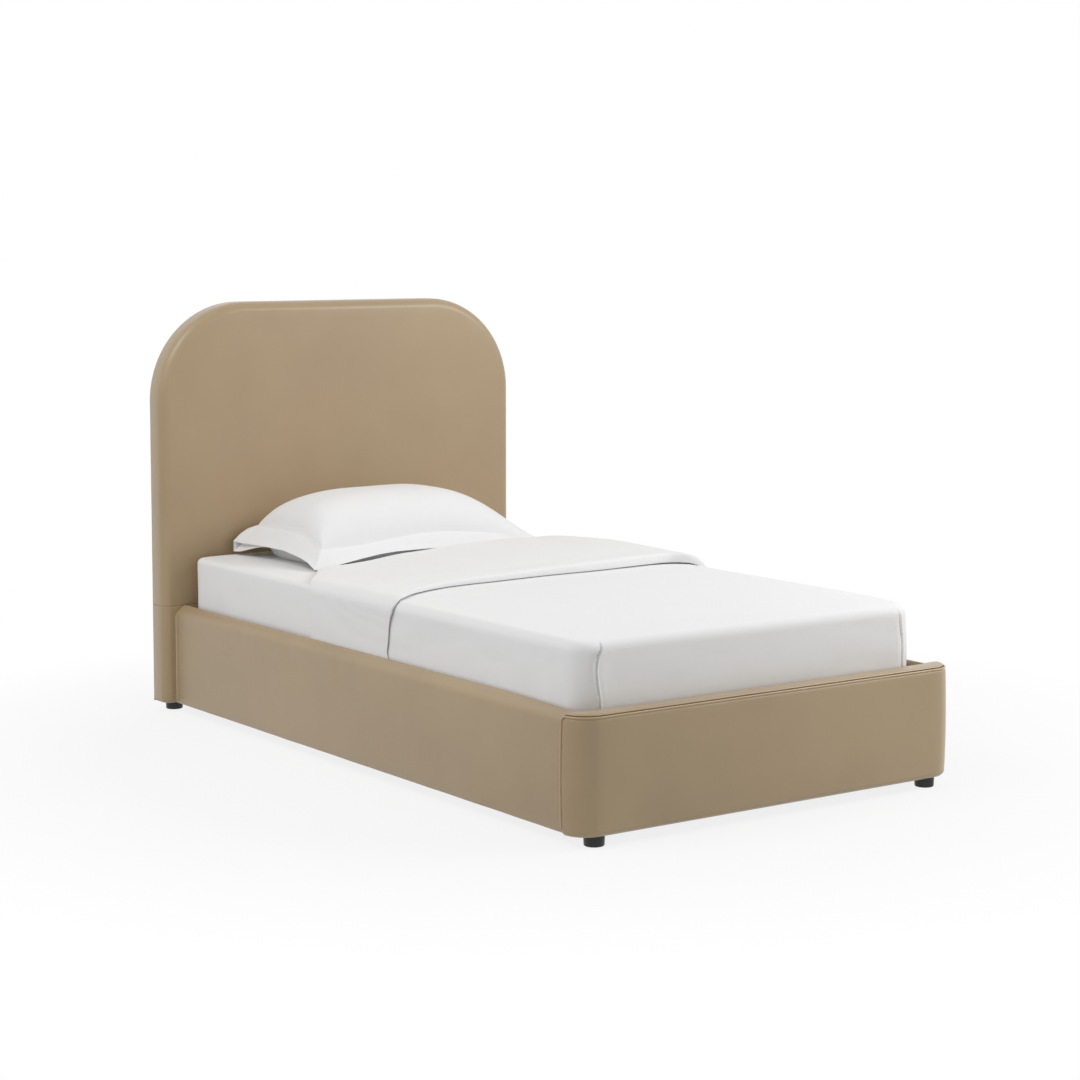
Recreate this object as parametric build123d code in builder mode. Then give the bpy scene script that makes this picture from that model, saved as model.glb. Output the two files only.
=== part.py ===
"""Upholstered single bed with an arched headboard, a slatted base and its bedding.

The foot of the bed faces -Y, the headboard stands at +Y, and the floor is at Z = 0.
The origin is on the floor, under the middle of the bed. All lengths are in millimetres.
"""
from build123d import *
from math import sqrt, cos, sin, radians
import os

os.makedirs("parts", exist_ok=True)

# Mattress, which the frame is built round
mattress_width = 1060.0
mattress_length = 1900.0
mattress_thickness = 192.0
mattress_corner_radius = 60.0
mattress_edge_radius = 20.0
mattress_side_gap = 9.0
mattress_foot_gap = 10.0
mattress_head_gap = 20.0

# Upholstery
cover_thickness = 2.0
welt_diameter = 4.6
seam_groove = 0.8

# Outer sizes of the frame
foot_height = 25.0
rail_height = 278.0
rail_thickness = 34.0
rail_setback = 19.0
footboard_depth = 70.0
footboard_bulge = 3.0
footboard_dome = 6.0
footboard_bottom_radius = 12.0
welt_proud = 0.7
headboard_overhang = 16.0
headboard_thickness = 76.0
headboard_height = 1160.0
headboard_corner_radius = 284.0
headboard_roll_radius = 28.0
headboard_seam_height = 284.0

# Timber, board and foam inside the upholstery
panel_thickness = 12.0
rail_board_thickness = 18.0
batten_width = 60.0
batten_depth = 30.0
side_foam = 8.0
rail_top_foam = 18.0
lower_foam = 8.0
footboard_foam = 10.0
footboard_top_foam = 12.0

# Base
slat_top_below_rail_top = 48.0
slat_thickness = 15.0
slat_width = 80.0
slat_count = 13
ledger_width = 28.0
centre_rail_width = 45.0
centre_rail_height = 45.0
leg_width = 45.0
leg_spacing = 900.0

# Bedding
sheet_thickness = 1.5
duvet_thickness = 9.0
duvet_side_thickness = 3.0
fold_thickness = 20.0
pillow_length = 800.0
pillow_depth = 368.0
pillow_height = 190.0
pillow_flange = 50.0
pillow_to_headboard = 30.0
pillow_offset_x = 55.0

# Clearances
fit_gap = 0.1
cloth_gap = 0.3
overrun = 50.0

# Levels and places worked out from the sizes above
rail_bottom = foot_height
rail_top = rail_bottom + rail_height
well_half_width = mattress_width / 2 + mattress_side_gap
rail_outer_x = well_half_width + rail_thickness
footboard_half_width = rail_outer_x + rail_setback
headboard_half_width = footboard_half_width + headboard_overhang
well_length = mattress_foot_gap + mattress_length + mattress_head_gap
bed_length = footboard_depth + well_length + headboard_thickness
front_y = -bed_length / 2
back_y = bed_length / 2
footboard_inner_y = front_y + footboard_depth
headboard_face_y = back_y - headboard_thickness
headboard_top = rail_bottom + headboard_height
headboard_seam_z = rail_bottom + headboard_seam_height
slat_top = rail_top - slat_top_below_rail_top
slat_bottom = slat_top - slat_thickness
sides = {"left": -1, "right": 1}


def keep(part, name):
    """Label a finished piece and write it."""
    part.label = name
    export_step(part, "parts/" + name + ".step")


def group(pieces):
    """Several separate pieces of one kind, held as one part."""
    with BuildPart() as gathered:
        add(pieces)
    return gathered.part


def plane_facing_foot(y):
    """A sketch plane across the bed at y: sketch X is +X, sketch Y is +Z, and it faces -Y."""
    return Plane.XZ.offset(-y)


def timber(low, high, edge_radius):
    """A straight piece of timber or board between two corners, its long edges eased."""
    size = [top - bottom for bottom, top in zip(low, high)]
    centre = [(top + bottom) / 2 for bottom, top in zip(low, high)]
    long_axis = (Axis.X, Axis.Y, Axis.Z)[size.index(max(size))]
    with BuildPart() as piece:
        with Locations(tuple(centre)):
            Box(*size)
        fillet(piece.edges().filter_by(long_axis), radius=edge_radius)
    return piece.part


timber_edge = 2.0
board_edge = 0.5


# Hardware sizes, shared by the pieces that it passes through
bracket_leg = 62.0
bracket_thickness = 4.0
bracket_bottom = rail_bottom + 24.0
bracket_height = 150.0
bracket_hole_pitch = 100.0
bracket_hole_inset = 34.0
bracket_bend_radius = 3.0
bolt_diameter = 8.0
bolt_hole_diameter = 9.0
bolt_head_diameter = 15.0
bolt_head_height = 4.5
insert_diameter = 12.0
insert_length = 15.0
screw_diameter = 5.0
screw_hole_diameter = 5.4
screw_head_diameter = 10.0
screw_head_height = 3.0
bracket_middle_z = bracket_bottom + bracket_height / 2
bracket_hole_heights = [bracket_middle_z + share * bracket_hole_pitch / 2 for share in (-1, 1)]


# Headboard: one tall block of upholstery, sewn across at the height of the seam
back_cloth_thickness = 1.0
back_edge_radius = 4.0
headboard_bottom_radius = 10.0
staple_hem = 36.0
core_side_inset = cover_thickness + side_foam
cover_back_y = back_y - back_cloth_thickness
core_back_y = cover_back_y - cover_thickness
post_front_y = core_back_y - batten_depth
upper_panel_front_y = post_front_y - panel_thickness
lower_panel_front_y = headboard_face_y + cover_thickness + lower_foam
spacer_front_y = lower_panel_front_y + panel_thickness
core_half_width = headboard_half_width - core_side_inset
core_top = headboard_top - core_side_inset
core_bottom = rail_bottom + cover_thickness
arch_centre_x = headboard_half_width - headboard_corner_radius
arch_centre_z = headboard_top - headboard_corner_radius
arch_core_radius = headboard_corner_radius - core_side_inset
spacer_width = 160.0
core_corner_radius = 4.0
back_cloth_margin = 8.0


def headboard_outline(y, bottom, inset):
    """The arched outline, drawn in by an inset, on a plane across the bed."""
    top = headboard_top - inset
    with BuildSketch(plane_facing_foot(y)) as outline:
        with Locations((0, (top + bottom) / 2)):
            Rectangle(2 * (headboard_half_width - inset), top - bottom)
        fillet(outline.vertices().group_by(Axis.Y)[-1], radius=headboard_corner_radius - inset)
    return outline.sketch


def headboard_block(back, front, bottom, inset, bottom_radius):
    """The padded block from back to front, with its front edge rolled over."""
    with BuildPart() as block:
        extrude(headboard_outline(back, bottom, inset), amount=back - front)
        front_face = block.faces().sort_by(Axis.Y)[0]
        lowest = front_face.edges().sort_by(Axis.Z)[0]
        fillet(front_face.edges() - [lowest], radius=headboard_roll_radius - inset)
        if bottom_radius > 0:
            low_face = block.faces().sort_by(Axis.Z)[0]
            fillet(low_face.edges().sort_by(Axis.Y)[0], radius=bottom_radius)
    return block.part


def bolt_holes_into_ends(y_from, y_to, diameter):
    """Cylinders along Y at every corner bracket bolt that enters a headboard or footboard."""
    with BuildPart() as holes:
        with BuildSketch(plane_facing_foot(max(y_from, y_to))):
            for sign in sides.values():
                for height in bracket_hole_heights:
                    with Locations((sign * end_bolt_x, height)):
                        Circle(diameter / 2)
        extrude(amount=abs(y_to - y_from))
    return holes.part


rail_board_inner_x = well_half_width + cover_thickness
bracket_face_x = rail_board_inner_x - bracket_thickness
end_bolt_x = rail_board_inner_x - bracket_hole_inset

# Centre rail hangers, whose screws also enter both ends of the bed
hanger_thickness = 2.5
hanger_depth = 46.0
hanger_flange = 22.0
hanger_screw_z = slat_bottom - centre_rail_height / 2
hanger_screw_x = centre_rail_width / 2 + hanger_thickness + hanger_flange / 2
hanger_half_width = centre_rail_width / 2 + hanger_thickness + hanger_flange


def hanger_screw_holes(y_from, y_to, diameter):
    """Cylinders along Y at the screws of a centre rail hanger."""
    with BuildPart() as holes:
        with BuildSketch(plane_facing_foot(max(y_from, y_to))):
            with Locations((-hanger_screw_x, hanger_screw_z), (hanger_screw_x, hanger_screw_z)):
                Circle(diameter / 2)
        extrude(amount=abs(y_to - y_from))
    return holes.part


# Feet: four turned plastic feet, each held by one long screw
foot_diameter = 50.0
foot_base_diameter = 48.0
foot_edge_radius = 3.0
foot_recess_diameter = 16.0
foot_recess_depth = 12.0
foot_screw_diameter = 6.0
foot_screw_hole_diameter = 6.4
foot_screw_head_diameter = 12.0
foot_screw_head_height = 4.0
foot_screw_grip = 34.0
front_foot_inset = 4.0
front_foot_x = footboard_half_width - footboard_depth - front_foot_inset
front_foot_y = footboard_inner_y - cover_thickness - panel_thickness - batten_depth / 2
rear_foot_x = core_half_width - batten_width * 3 / 4
rear_foot_y = core_back_y - batten_depth * 3 / 4
foot_places = {
    "front_left": (-front_foot_x, front_foot_y),
    "front_right": (front_foot_x, front_foot_y),
    "rear_left": (-rear_foot_x, rear_foot_y),
    "rear_right": (rear_foot_x, rear_foot_y),
}


def foot_screw_holes(bottom, top, diameter):
    """Upright cylinders at the screws of all four feet."""
    with BuildPart() as holes:
        with BuildSketch(Plane.XY.offset(bottom)):
            with Locations(*foot_places.values()):
                Circle(diameter / 2)
        extrude(amount=top - bottom)
    return holes.part


foot_screw_top = rail_bottom + foot_screw_grip
foot_drill = foot_screw_holes(rail_bottom - overrun, foot_screw_top + fit_gap, foot_screw_hole_diameter)

headboard_outer = headboard_block(cover_back_y, headboard_face_y, rail_bottom, 0, headboard_bottom_radius)
headboard_inner = headboard_block(
    core_back_y,
    headboard_face_y + cover_thickness,
    core_bottom,
    cover_thickness,
    headboard_bottom_radius - cover_thickness,
)
headboard_drill = bolt_holes_into_ends(headboard_face_y - overrun, spacer_front_y, bolt_hole_diameter)
headboard_hanger_drill = hanger_screw_holes(headboard_face_y - overrun, core_back_y, screw_hole_diameter)

with BuildPart() as headboard_skin:
    add(headboard_outer)
    back_face = headboard_skin.faces().sort_by(Axis.Y)[-1]
    fillet(back_face.edges(), radius=back_edge_radius)
    add(headboard_inner, mode=Mode.SUBTRACT)
    window_bottom = rail_bottom + staple_hem
    extrude(
        headboard_outline(back_y, window_bottom, staple_hem),
        amount=batten_depth,
        mode=Mode.SUBTRACT,
    )
    add(headboard_drill, mode=Mode.SUBTRACT)
    add(headboard_hanger_drill, mode=Mode.SUBTRACT)
    add(foot_drill, mode=Mode.SUBTRACT)

with BuildPart() as headboard_groove:
    with BuildSketch(plane_facing_foot(cover_back_y - back_edge_radius)):
        with Locations((0, headboard_seam_z)):
            Rectangle(2 * headboard_half_width, 2 * seam_groove)
    extrude(amount=headboard_thickness)
    groove_core = headboard_block(
        cover_back_y, headboard_face_y + seam_groove, rail_bottom, seam_groove, 0
    )
    add(groove_core, mode=Mode.SUBTRACT)

with BuildPart() as headboard_cover_upper:
    add(headboard_skin.part)
    split(bisect_by=Plane.XY.offset(headboard_seam_z), keep=Keep.TOP)
    add(headboard_groove.part, mode=Mode.SUBTRACT)
keep(headboard_cover_upper.part, "headboard_cover_upper")

with BuildPart() as headboard_cover_lower:
    add(headboard_skin.part)
    split(bisect_by=Plane.XY.offset(headboard_seam_z), keep=Keep.BOTTOM)
    add(headboard_groove.part, mode=Mode.SUBTRACT)
keep(headboard_cover_lower.part, "headboard_cover_lower")

with BuildPart() as headboard_foam_upper:
    add(headboard_inner)
    split(bisect_by=Plane.XY.offset(headboard_seam_z), keep=Keep.TOP)
    extrude(
        headboard_outline(core_back_y, headboard_seam_z, core_side_inset),
        amount=core_back_y - upper_panel_front_y,
        mode=Mode.SUBTRACT,
    )
keep(headboard_foam_upper.part, "headboard_foam_upper")

with BuildPart() as headboard_lower_core:
    with BuildSketch(plane_facing_foot(core_back_y)):
        with Locations((0, (core_bottom + headboard_seam_z) / 2)):
            Rectangle(2 * core_half_width, headboard_seam_z - core_bottom)
    extrude(amount=core_back_y - lower_panel_front_y)
    front_face = headboard_lower_core.faces().sort_by(Axis.Y)[0]
    fillet(front_face.edges().filter_by(Axis.Z), radius=core_corner_radius)
    add(headboard_inner, mode=Mode.INTERSECT)

with BuildPart() as headboard_foam_lower:
    add(headboard_inner)
    split(bisect_by=Plane.XY.offset(headboard_seam_z), keep=Keep.BOTTOM)
    add(headboard_lower_core.part, mode=Mode.SUBTRACT)
    add(headboard_drill, mode=Mode.SUBTRACT)
    add(headboard_hanger_drill, mode=Mode.SUBTRACT)
keep(headboard_foam_lower.part, "headboard_foam_lower")

with BuildPart() as headboard_panel_upper:
    extrude(
        headboard_outline(post_front_y, headboard_seam_z, core_side_inset),
        amount=panel_thickness,
    )
keep(headboard_panel_upper.part, "headboard_panel_upper")

with BuildPart() as headboard_panel_lower:
    add(headboard_lower_core.part)
    split(bisect_by=plane_facing_foot(spacer_front_y), keep=Keep.TOP)
    add(headboard_drill, mode=Mode.SUBTRACT)
    add(headboard_hanger_drill, mode=Mode.SUBTRACT)
keep(headboard_panel_lower.part, "headboard_panel_lower")

head_insert_drill = bolt_holes_into_ends(
    spacer_front_y - fit_gap,
    spacer_front_y + insert_length + fit_gap,
    insert_diameter + 2 * fit_gap,
)
post_inner_x = core_half_width - batten_width
centre_spacer_half_width = hanger_half_width + timber_edge
posts = []
spacers = []
arch_blocks = []
for sign in sides.values():
    post_low_x, post_high_x = sorted((sign * post_inner_x, sign * core_half_width))
    with BuildPart() as headboard_post:
        add(
            timber(
                (post_low_x, post_front_y, core_bottom),
                (post_high_x, core_back_y, arch_centre_z),
                timber_edge,
            )
        )
        add(foot_drill, mode=Mode.SUBTRACT)
    posts.append(headboard_post.part)

    spacer_low_x, spacer_high_x = sorted(
        (sign * (core_half_width - spacer_width), sign * core_half_width)
    )
    with BuildPart() as headboard_spacer:
        add(
            timber(
                (spacer_low_x, spacer_front_y, core_bottom),
                (spacer_high_x, post_front_y, headboard_seam_z),
                board_edge,
            )
        )
        add(head_insert_drill, mode=Mode.SUBTRACT)
    spacers.append(headboard_spacer.part)

    with BuildPart() as headboard_arch_block:
        with BuildSketch(plane_facing_foot(core_back_y)):
            with BuildLine():
                arch_start = 0 if sign > 0 else 90
                arch_middle = (sign * arch_centre_x, arch_centre_z)
                outer_arc = CenterArc(arch_middle, arch_core_radius, arch_start, 90)
                inner_arc = CenterArc(arch_middle, arch_core_radius - batten_width, arch_start, 90)
                Line(outer_arc @ 0, inner_arc @ 0)
                Line(outer_arc @ 1, inner_arc @ 1)
            make_face()
        extrude(amount=batten_depth)
    arch_blocks.append(headboard_arch_block.part)

with BuildPart() as headboard_spacer_centre:
    add(
        timber(
            (-centre_spacer_half_width, spacer_front_y, core_bottom),
            (centre_spacer_half_width, post_front_y, headboard_seam_z),
            board_edge,
        )
    )
    add(headboard_hanger_drill, mode=Mode.SUBTRACT)
spacers.append(headboard_spacer_centre.part)
keep(group(posts), "headboard_posts")
keep(group(spacers), "headboard_spacers")
keep(group(arch_blocks), "headboard_arch_blocks")

cross_batten_bottoms = {
    "bottom": core_bottom,
    "seam": headboard_seam_z - batten_width / 2,
    "middle": (headboard_seam_z + core_top - batten_width) / 2,
}
for name, bottom in cross_batten_bottoms.items():
    with BuildPart() as headboard_batten:
        add(
            timber(
                (-post_inner_x, post_front_y, bottom),
                (post_inner_x, core_back_y, bottom + batten_width),
                timber_edge,
            )
        )
        add(headboard_hanger_drill, mode=Mode.SUBTRACT)
    keep(headboard_batten.part, "headboard_batten_" + name)

headboard_batten_top = timber(
    (-arch_centre_x, post_front_y, core_top - batten_width),
    (arch_centre_x, core_back_y, core_top),
    timber_edge,
)
keep(headboard_batten_top, "headboard_batten_top")

with BuildPart() as headboard_back_cloth:
    extrude(
        headboard_outline(back_y, rail_bottom + back_cloth_margin, back_cloth_margin),
        amount=back_cloth_thickness,
    )
keep(headboard_back_cloth.part, "headboard_back_cloth")


# Footboard: a padded panel whose two ends turn a full quarter round
footboard_corner_x = footboard_half_width - footboard_depth
footboard_panel_back = footboard_depth - footboard_bulge - cover_thickness - footboard_foam
former_outer_radius = footboard_panel_back
former_inner_radius = former_outer_radius - panel_thickness
footboard_core_top = rail_top - footboard_top_foam
lining_y = footboard_inner_y - cover_thickness
back_panel_front_y = lining_y - panel_thickness
front_panel_back_y = footboard_inner_y - former_inner_radius
front_panel_front_y = footboard_inner_y - former_outer_radius


def footboard_section_plane(sign):
    """Plane at one end of the straight part: sketch X runs outwards to the foot, sketch Y up."""
    origin = (sign * footboard_corner_x, footboard_inner_y, 0)
    return Plane(origin=origin, x_dir=(0, -1, 0), z_dir=(-1, 0, 0))


def footboard_section(sign, inset):
    """The padded section: flat below, bulged at the front, domed on top."""
    edge = footboard_depth - footboard_bulge - inset
    low = rail_bottom + inset
    high = rail_top - inset
    with BuildSketch(footboard_section_plane(sign)) as section:
        with BuildLine():
            bottom = Line((0, low), (edge, low))
            front = ThreePointArc(bottom @ 1, (edge + footboard_bulge, (low + high) / 2), (edge, high))
            dome = ThreePointArc(front @ 1, (edge / 2, high + footboard_dome), (0, high))
            Line(dome @ 1, bottom @ 0)
        make_face()
        low_corner = section.vertices().group_by(Axis.Y)[0].sort_by(Axis.X)[-1]
        fillet(low_corner, radius=footboard_bottom_radius - inset)
    return section.sketch


def footboard_block(inset):
    """The straight part and both quarter-round ends, drawn in by an inset."""
    with BuildPart() as block:
        extrude(footboard_section(1, inset), amount=2 * footboard_corner_x)
        for sign in sides.values():
            upright = Axis((sign * footboard_corner_x, footboard_inner_y, 0), (0, 0, sign))
            revolve(footboard_section(sign, inset), axis=upright, revolution_arc=90)
        if inset > 0:
            split(bisect_by=plane_facing_foot(footboard_inner_y - inset), keep=Keep.TOP)
    return block.part


welt_radius = welt_diameter / 2
welt_path_radius = footboard_depth - footboard_bulge + welt_proud
welt_z = rail_top + welt_proud


def welt(radius):
    """The round welt along the top edge of the footboard and round both of its ends."""
    left_middle = (-footboard_corner_x, footboard_inner_y)
    right_middle = (footboard_corner_x, footboard_inner_y)
    with BuildPart() as cord:
        with BuildLine(Plane.XY.offset(welt_z)) as path:
            left_turn = CenterArc(left_middle, welt_path_radius, 180, 90)
            right_turn = CenterArc(right_middle, welt_path_radius, 270, 90)
            Line(left_turn @ 1, right_turn @ 0)
        with BuildSketch(Plane(origin=path.line @ 0, z_dir=path.line % 0)):
            Circle(radius)
        sweep(path=path.line)
    return cord.part


seam_welt_low = rail_bottom + footboard_bottom_radius


def seam_welt(sign, radius):
    """The welt down the upright seam at one end of the footboard."""
    end_x = sign * (footboard_corner_x + welt_path_radius)
    swell_x = sign * (footboard_corner_x + welt_path_radius + footboard_bulge)
    with BuildPart() as cord:
        with BuildLine() as path:
            ThreePointArc(
                (end_x, footboard_inner_y, seam_welt_low),
                (swell_x, footboard_inner_y, (seam_welt_low + welt_z) / 2),
                (end_x, footboard_inner_y, welt_z),
            )
        with BuildSketch(Plane(origin=path.line @ 0, z_dir=path.line % 0)):
            Circle(radius)
        sweep(path=path.line)
    return cord.part


footboard_drill = bolt_holes_into_ends(
    back_panel_front_y, footboard_inner_y + overrun, bolt_hole_diameter
)
foot_insert_drill = bolt_holes_into_ends(
    back_panel_front_y - insert_length - fit_gap,
    back_panel_front_y + fit_gap,
    insert_diameter + 2 * fit_gap,
)
footboard_hanger_drill = hanger_screw_holes(
    front_panel_back_y, footboard_inner_y + overrun, screw_hole_diameter
)
footboard_inner = footboard_block(cover_thickness)

with BuildPart() as footboard_cover:
    add(footboard_block(0))
    add(footboard_inner, mode=Mode.SUBTRACT)
    for sign in sides.values():
        add(seam_welt(sign, welt_radius + fit_gap), mode=Mode.SUBTRACT)
    add(welt(welt_radius + fit_gap), mode=Mode.SUBTRACT)
    add(footboard_drill, mode=Mode.SUBTRACT)
    add(footboard_hanger_drill, mode=Mode.SUBTRACT)
    add(foot_drill, mode=Mode.SUBTRACT)
keep(footboard_cover.part, "footboard_cover")

keep(welt(welt_radius), "footboard_top_welt")
with BuildPart() as footboard_seam_welts:
    for sign in sides.values():
        add(seam_welt(sign, welt_radius - fit_gap))
    split(bisect_by=Plane.XY.offset(seam_welt_low + cloth_gap), keep=Keep.TOP)
    split(bisect_by=Plane.XY.offset(welt_z - welt_radius - cloth_gap), keep=Keep.BOTTOM)
keep(footboard_seam_welts.part, "footboard_seam_welts")

back_panel_reach = sqrt(former_inner_radius**2 - (footboard_inner_y - back_panel_front_y) ** 2)
back_panel_half_width = footboard_corner_x + back_panel_reach - fit_gap

with BuildPart() as footboard_back_panel:
    add(
        timber(
            (-back_panel_half_width, back_panel_front_y, core_bottom),
            (back_panel_half_width, lining_y, footboard_core_top),
            board_edge,
        )
    )
    add(footboard_drill, mode=Mode.SUBTRACT)
    add(footboard_hanger_drill, mode=Mode.SUBTRACT)
keep(footboard_back_panel.part, "footboard_back_panel")

with BuildPart() as footboard_front_panel:
    add(
        timber(
            (-footboard_corner_x, front_panel_front_y, core_bottom),
            (footboard_corner_x, front_panel_back_y, footboard_core_top),
            board_edge,
        )
    )
keep(footboard_front_panel.part, "footboard_front_panel")

corner_formers = []
end_posts = []
for sign in sides.values():
    with BuildPart() as footboard_corner_former:
        with BuildSketch(Plane.XY.offset(core_bottom)):
            with BuildLine():
                former_start = 270 if sign > 0 else 180
                former_middle = (sign * footboard_corner_x, footboard_inner_y)
                outer_arc = CenterArc(former_middle, former_outer_radius, former_start, 90)
                inner_arc = CenterArc(former_middle, former_inner_radius, former_start, 90)
                Line(outer_arc @ 0, inner_arc @ 0)
                Line(outer_arc @ 1, inner_arc @ 1)
            make_face()
        extrude(amount=footboard_core_top - core_bottom)
        split(bisect_by=plane_facing_foot(lining_y), keep=Keep.TOP)
    corner_formers.append(footboard_corner_former.part)

    end_post_low_x, end_post_high_x = sorted(
        (sign * footboard_corner_x, sign * (footboard_corner_x - batten_width))
    )
    with BuildPart() as footboard_end_post:
        add(
            timber(
                (end_post_low_x, front_panel_back_y, core_bottom),
                (end_post_high_x, back_panel_front_y, footboard_core_top),
                timber_edge,
            )
        )
        add(foot_insert_drill, mode=Mode.SUBTRACT)
        add(foot_drill, mode=Mode.SUBTRACT)
    end_posts.append(footboard_end_post.part)
keep(group(corner_formers), "footboard_corner_formers")
keep(group(end_posts), "footboard_end_posts")

end_post_inner_x = footboard_corner_x - batten_width
footboard_batten_spans = {
    "bottom": (core_bottom, core_bottom + batten_depth),
    "top": (footboard_core_top - batten_depth, footboard_core_top),
}
for name, (low, high) in footboard_batten_spans.items():
    footboard_batten = timber(
        (-end_post_inner_x, front_panel_back_y, low),
        (end_post_inner_x, back_panel_front_y, high),
        timber_edge,
    )
    keep(footboard_batten, "footboard_batten_" + name)

with BuildPart() as footboard_centre_post:
    add(
        timber(
            (-centre_spacer_half_width, front_panel_back_y, core_bottom + batten_depth),
            (centre_spacer_half_width, back_panel_front_y, footboard_core_top - batten_depth),
            timber_edge,
        )
    )
    add(footboard_hanger_drill, mode=Mode.SUBTRACT)
keep(footboard_centre_post.part, "footboard_centre_post")

with BuildPart() as footboard_core:
    with BuildSketch(Plane.XY.offset(core_bottom)):
        with Locations((0, (front_panel_front_y + lining_y) / 2)):
            Rectangle(2 * footboard_corner_x, lining_y - front_panel_front_y)
        with Locations((-footboard_corner_x, footboard_inner_y), (footboard_corner_x, footboard_inner_y)):
            Circle(former_outer_radius)
    extrude(amount=footboard_core_top - core_bottom)
    split(bisect_by=plane_facing_foot(lining_y), keep=Keep.TOP)

with BuildPart() as footboard_foam_pad:
    add(footboard_inner)
    add(footboard_core.part, mode=Mode.SUBTRACT)
keep(footboard_foam_pad.part, "footboard_foam")


# Side rails: a board with foam over its face and top, in a cover that tucks down inside
rail_length = headboard_face_y - footboard_inner_y
rail_middle_y = (headboard_face_y + footboard_inner_y) / 2
rail_crown_radius = 28.0
rail_inner_radius = 4.0
rail_low_radius = 4.0
rail_lining_depth = 50.0
rail_board_top = rail_top - rail_top_foam


def rail_plane(sign):
    """Plane across a rail at its middle: sketch X runs outwards from the inner face, sketch Y up."""
    origin = (sign * well_half_width, rail_middle_y, 0)
    return Plane(origin=origin, x_dir=(sign, 0, 0), z_dir=(0, -sign, 0))


def rail_outline(sign, inset):
    """The rail's section with its crowned outer top edge, drawn in by an inset."""
    with BuildSketch(rail_plane(sign)) as outline:
        with Locations((inset, rail_bottom + inset)):
            Rectangle(
                rail_thickness - 2 * inset,
                rail_height - 2 * inset,
                align=(Align.MIN, Align.MIN),
            )
        top_corners = outline.vertices().group_by(Axis.Y)[-1].sort_by(Axis.X)
        fillet(top_corners[-1], radius=rail_crown_radius - inset)
        inner_top = outline.vertices().group_by(Axis.Y)[-1].sort_by(Axis.X)[0]
        fillet(inner_top, radius=rail_inner_radius - inset)
        low_outer = outline.vertices().group_by(Axis.Y)[0].sort_by(Axis.X)[-1]
        fillet(low_outer, radius=rail_low_radius - inset)
    return outline.sketch


bracket_holes_y = {
    "foot": footboard_inner_y + bracket_hole_inset,
    "head": headboard_face_y - bracket_hole_inset,
}


def holes_into_rail(sign, places, x_from, x_to, diameter):
    """Cylinders along X at (Y, Z) places, from one distance from the middle to another."""
    plane = Plane(origin=(sign * x_from, 0, 0), x_dir=(0, 1, 0), z_dir=(sign, 0, 0))
    with BuildPart() as holes:
        with BuildSketch(plane):
            for y, z in places:
                with Locations((y, sign * z)):
                    Circle(diameter / 2)
        extrude(amount=x_to - x_from)
    return holes.part


rail_bolt_places = [(y, z) for y in bracket_holes_y.values() for z in bracket_hole_heights]
ledger_top = slat_bottom
ledger_bottom = ledger_top - ledger_width
ledger_middle_z = (ledger_top + ledger_bottom) / 2
ledger_screw_count = 6
ledger_end_gap = 6.0
ledger_low_y = footboard_inner_y + ledger_end_gap
ledger_high_y = headboard_face_y - ledger_end_gap
ledger_screw_pitch = (ledger_high_y - ledger_low_y) / ledger_screw_count
ledger_screw_places = [
    (ledger_low_y + (index + 0.5) * ledger_screw_pitch, ledger_middle_z)
    for index in range(ledger_screw_count)
]
ledger_inner_x = rail_board_inner_x - ledger_width
ledger_screw_reach = 12.0

for side, sign in sides.items():
    with BuildPart() as rail_board:
        with BuildSketch(rail_plane(sign)):
            with Locations((cover_thickness, core_bottom)):
                Rectangle(
                    rail_board_thickness,
                    rail_board_top - core_bottom,
                    align=(Align.MIN, Align.MIN),
                )
        extrude(amount=rail_length / 2, both=True)
        fillet(rail_board.edges().filter_by(Axis.Y), radius=board_edge)
        insert_low_x = rail_board_inner_x - fit_gap
        insert_high_x = rail_board_inner_x + insert_length + fit_gap
        insert_hole = insert_diameter + 2 * fit_gap
        add(
            holes_into_rail(sign, rail_bolt_places, insert_low_x, insert_high_x, insert_hole),
            mode=Mode.SUBTRACT,
        )
        add(
            holes_into_rail(
                sign,
                ledger_screw_places,
                ledger_inner_x,
                rail_board_inner_x + ledger_screw_reach + fit_gap,
                screw_hole_diameter,
            ),
            mode=Mode.SUBTRACT,
        )
    keep(rail_board.part, "rail_board_" + side)

    with BuildPart() as rail_foam:
        extrude(rail_outline(sign, cover_thickness), amount=rail_length / 2, both=True)
        with BuildSketch(rail_plane(sign)):
            with Locations((cover_thickness, core_bottom)):
                Rectangle(
                    rail_board_thickness,
                    rail_board_top - core_bottom,
                    align=(Align.MIN, Align.MIN),
                )
        extrude(amount=rail_length / 2, both=True, mode=Mode.SUBTRACT)
    keep(rail_foam.part, "rail_foam_" + side)

    with BuildPart() as rail_cover:
        extrude(rail_outline(sign, 0), amount=rail_length / 2, both=True)
        extrude(
            rail_outline(sign, cover_thickness),
            amount=rail_length / 2,
            both=True,
            mode=Mode.SUBTRACT,
        )
        with BuildSketch(rail_plane(sign)):
            with Locations((0, core_bottom)):
                Rectangle(
                    cover_thickness,
                    rail_top - rail_lining_depth - core_bottom,
                    align=(Align.MIN, Align.MIN),
                )
        extrude(amount=rail_length / 2, both=True, mode=Mode.SUBTRACT)
    keep(rail_cover.part, "rail_cover_" + side)

    with BuildPart() as slat_ledger:
        low_x, high_x = sorted((sign * ledger_inner_x, sign * rail_board_inner_x))
        add(
            timber(
                (low_x, ledger_low_y, ledger_bottom),
                (high_x, ledger_high_y, ledger_top),
                timber_edge,
            )
        )
        add(
            holes_into_rail(
                sign,
                ledger_screw_places,
                ledger_inner_x - overrun,
                rail_board_inner_x,
                screw_hole_diameter,
            ),
            mode=Mode.SUBTRACT,
        )
    keep(slat_ledger.part, "slat_ledger_" + side)


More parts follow.
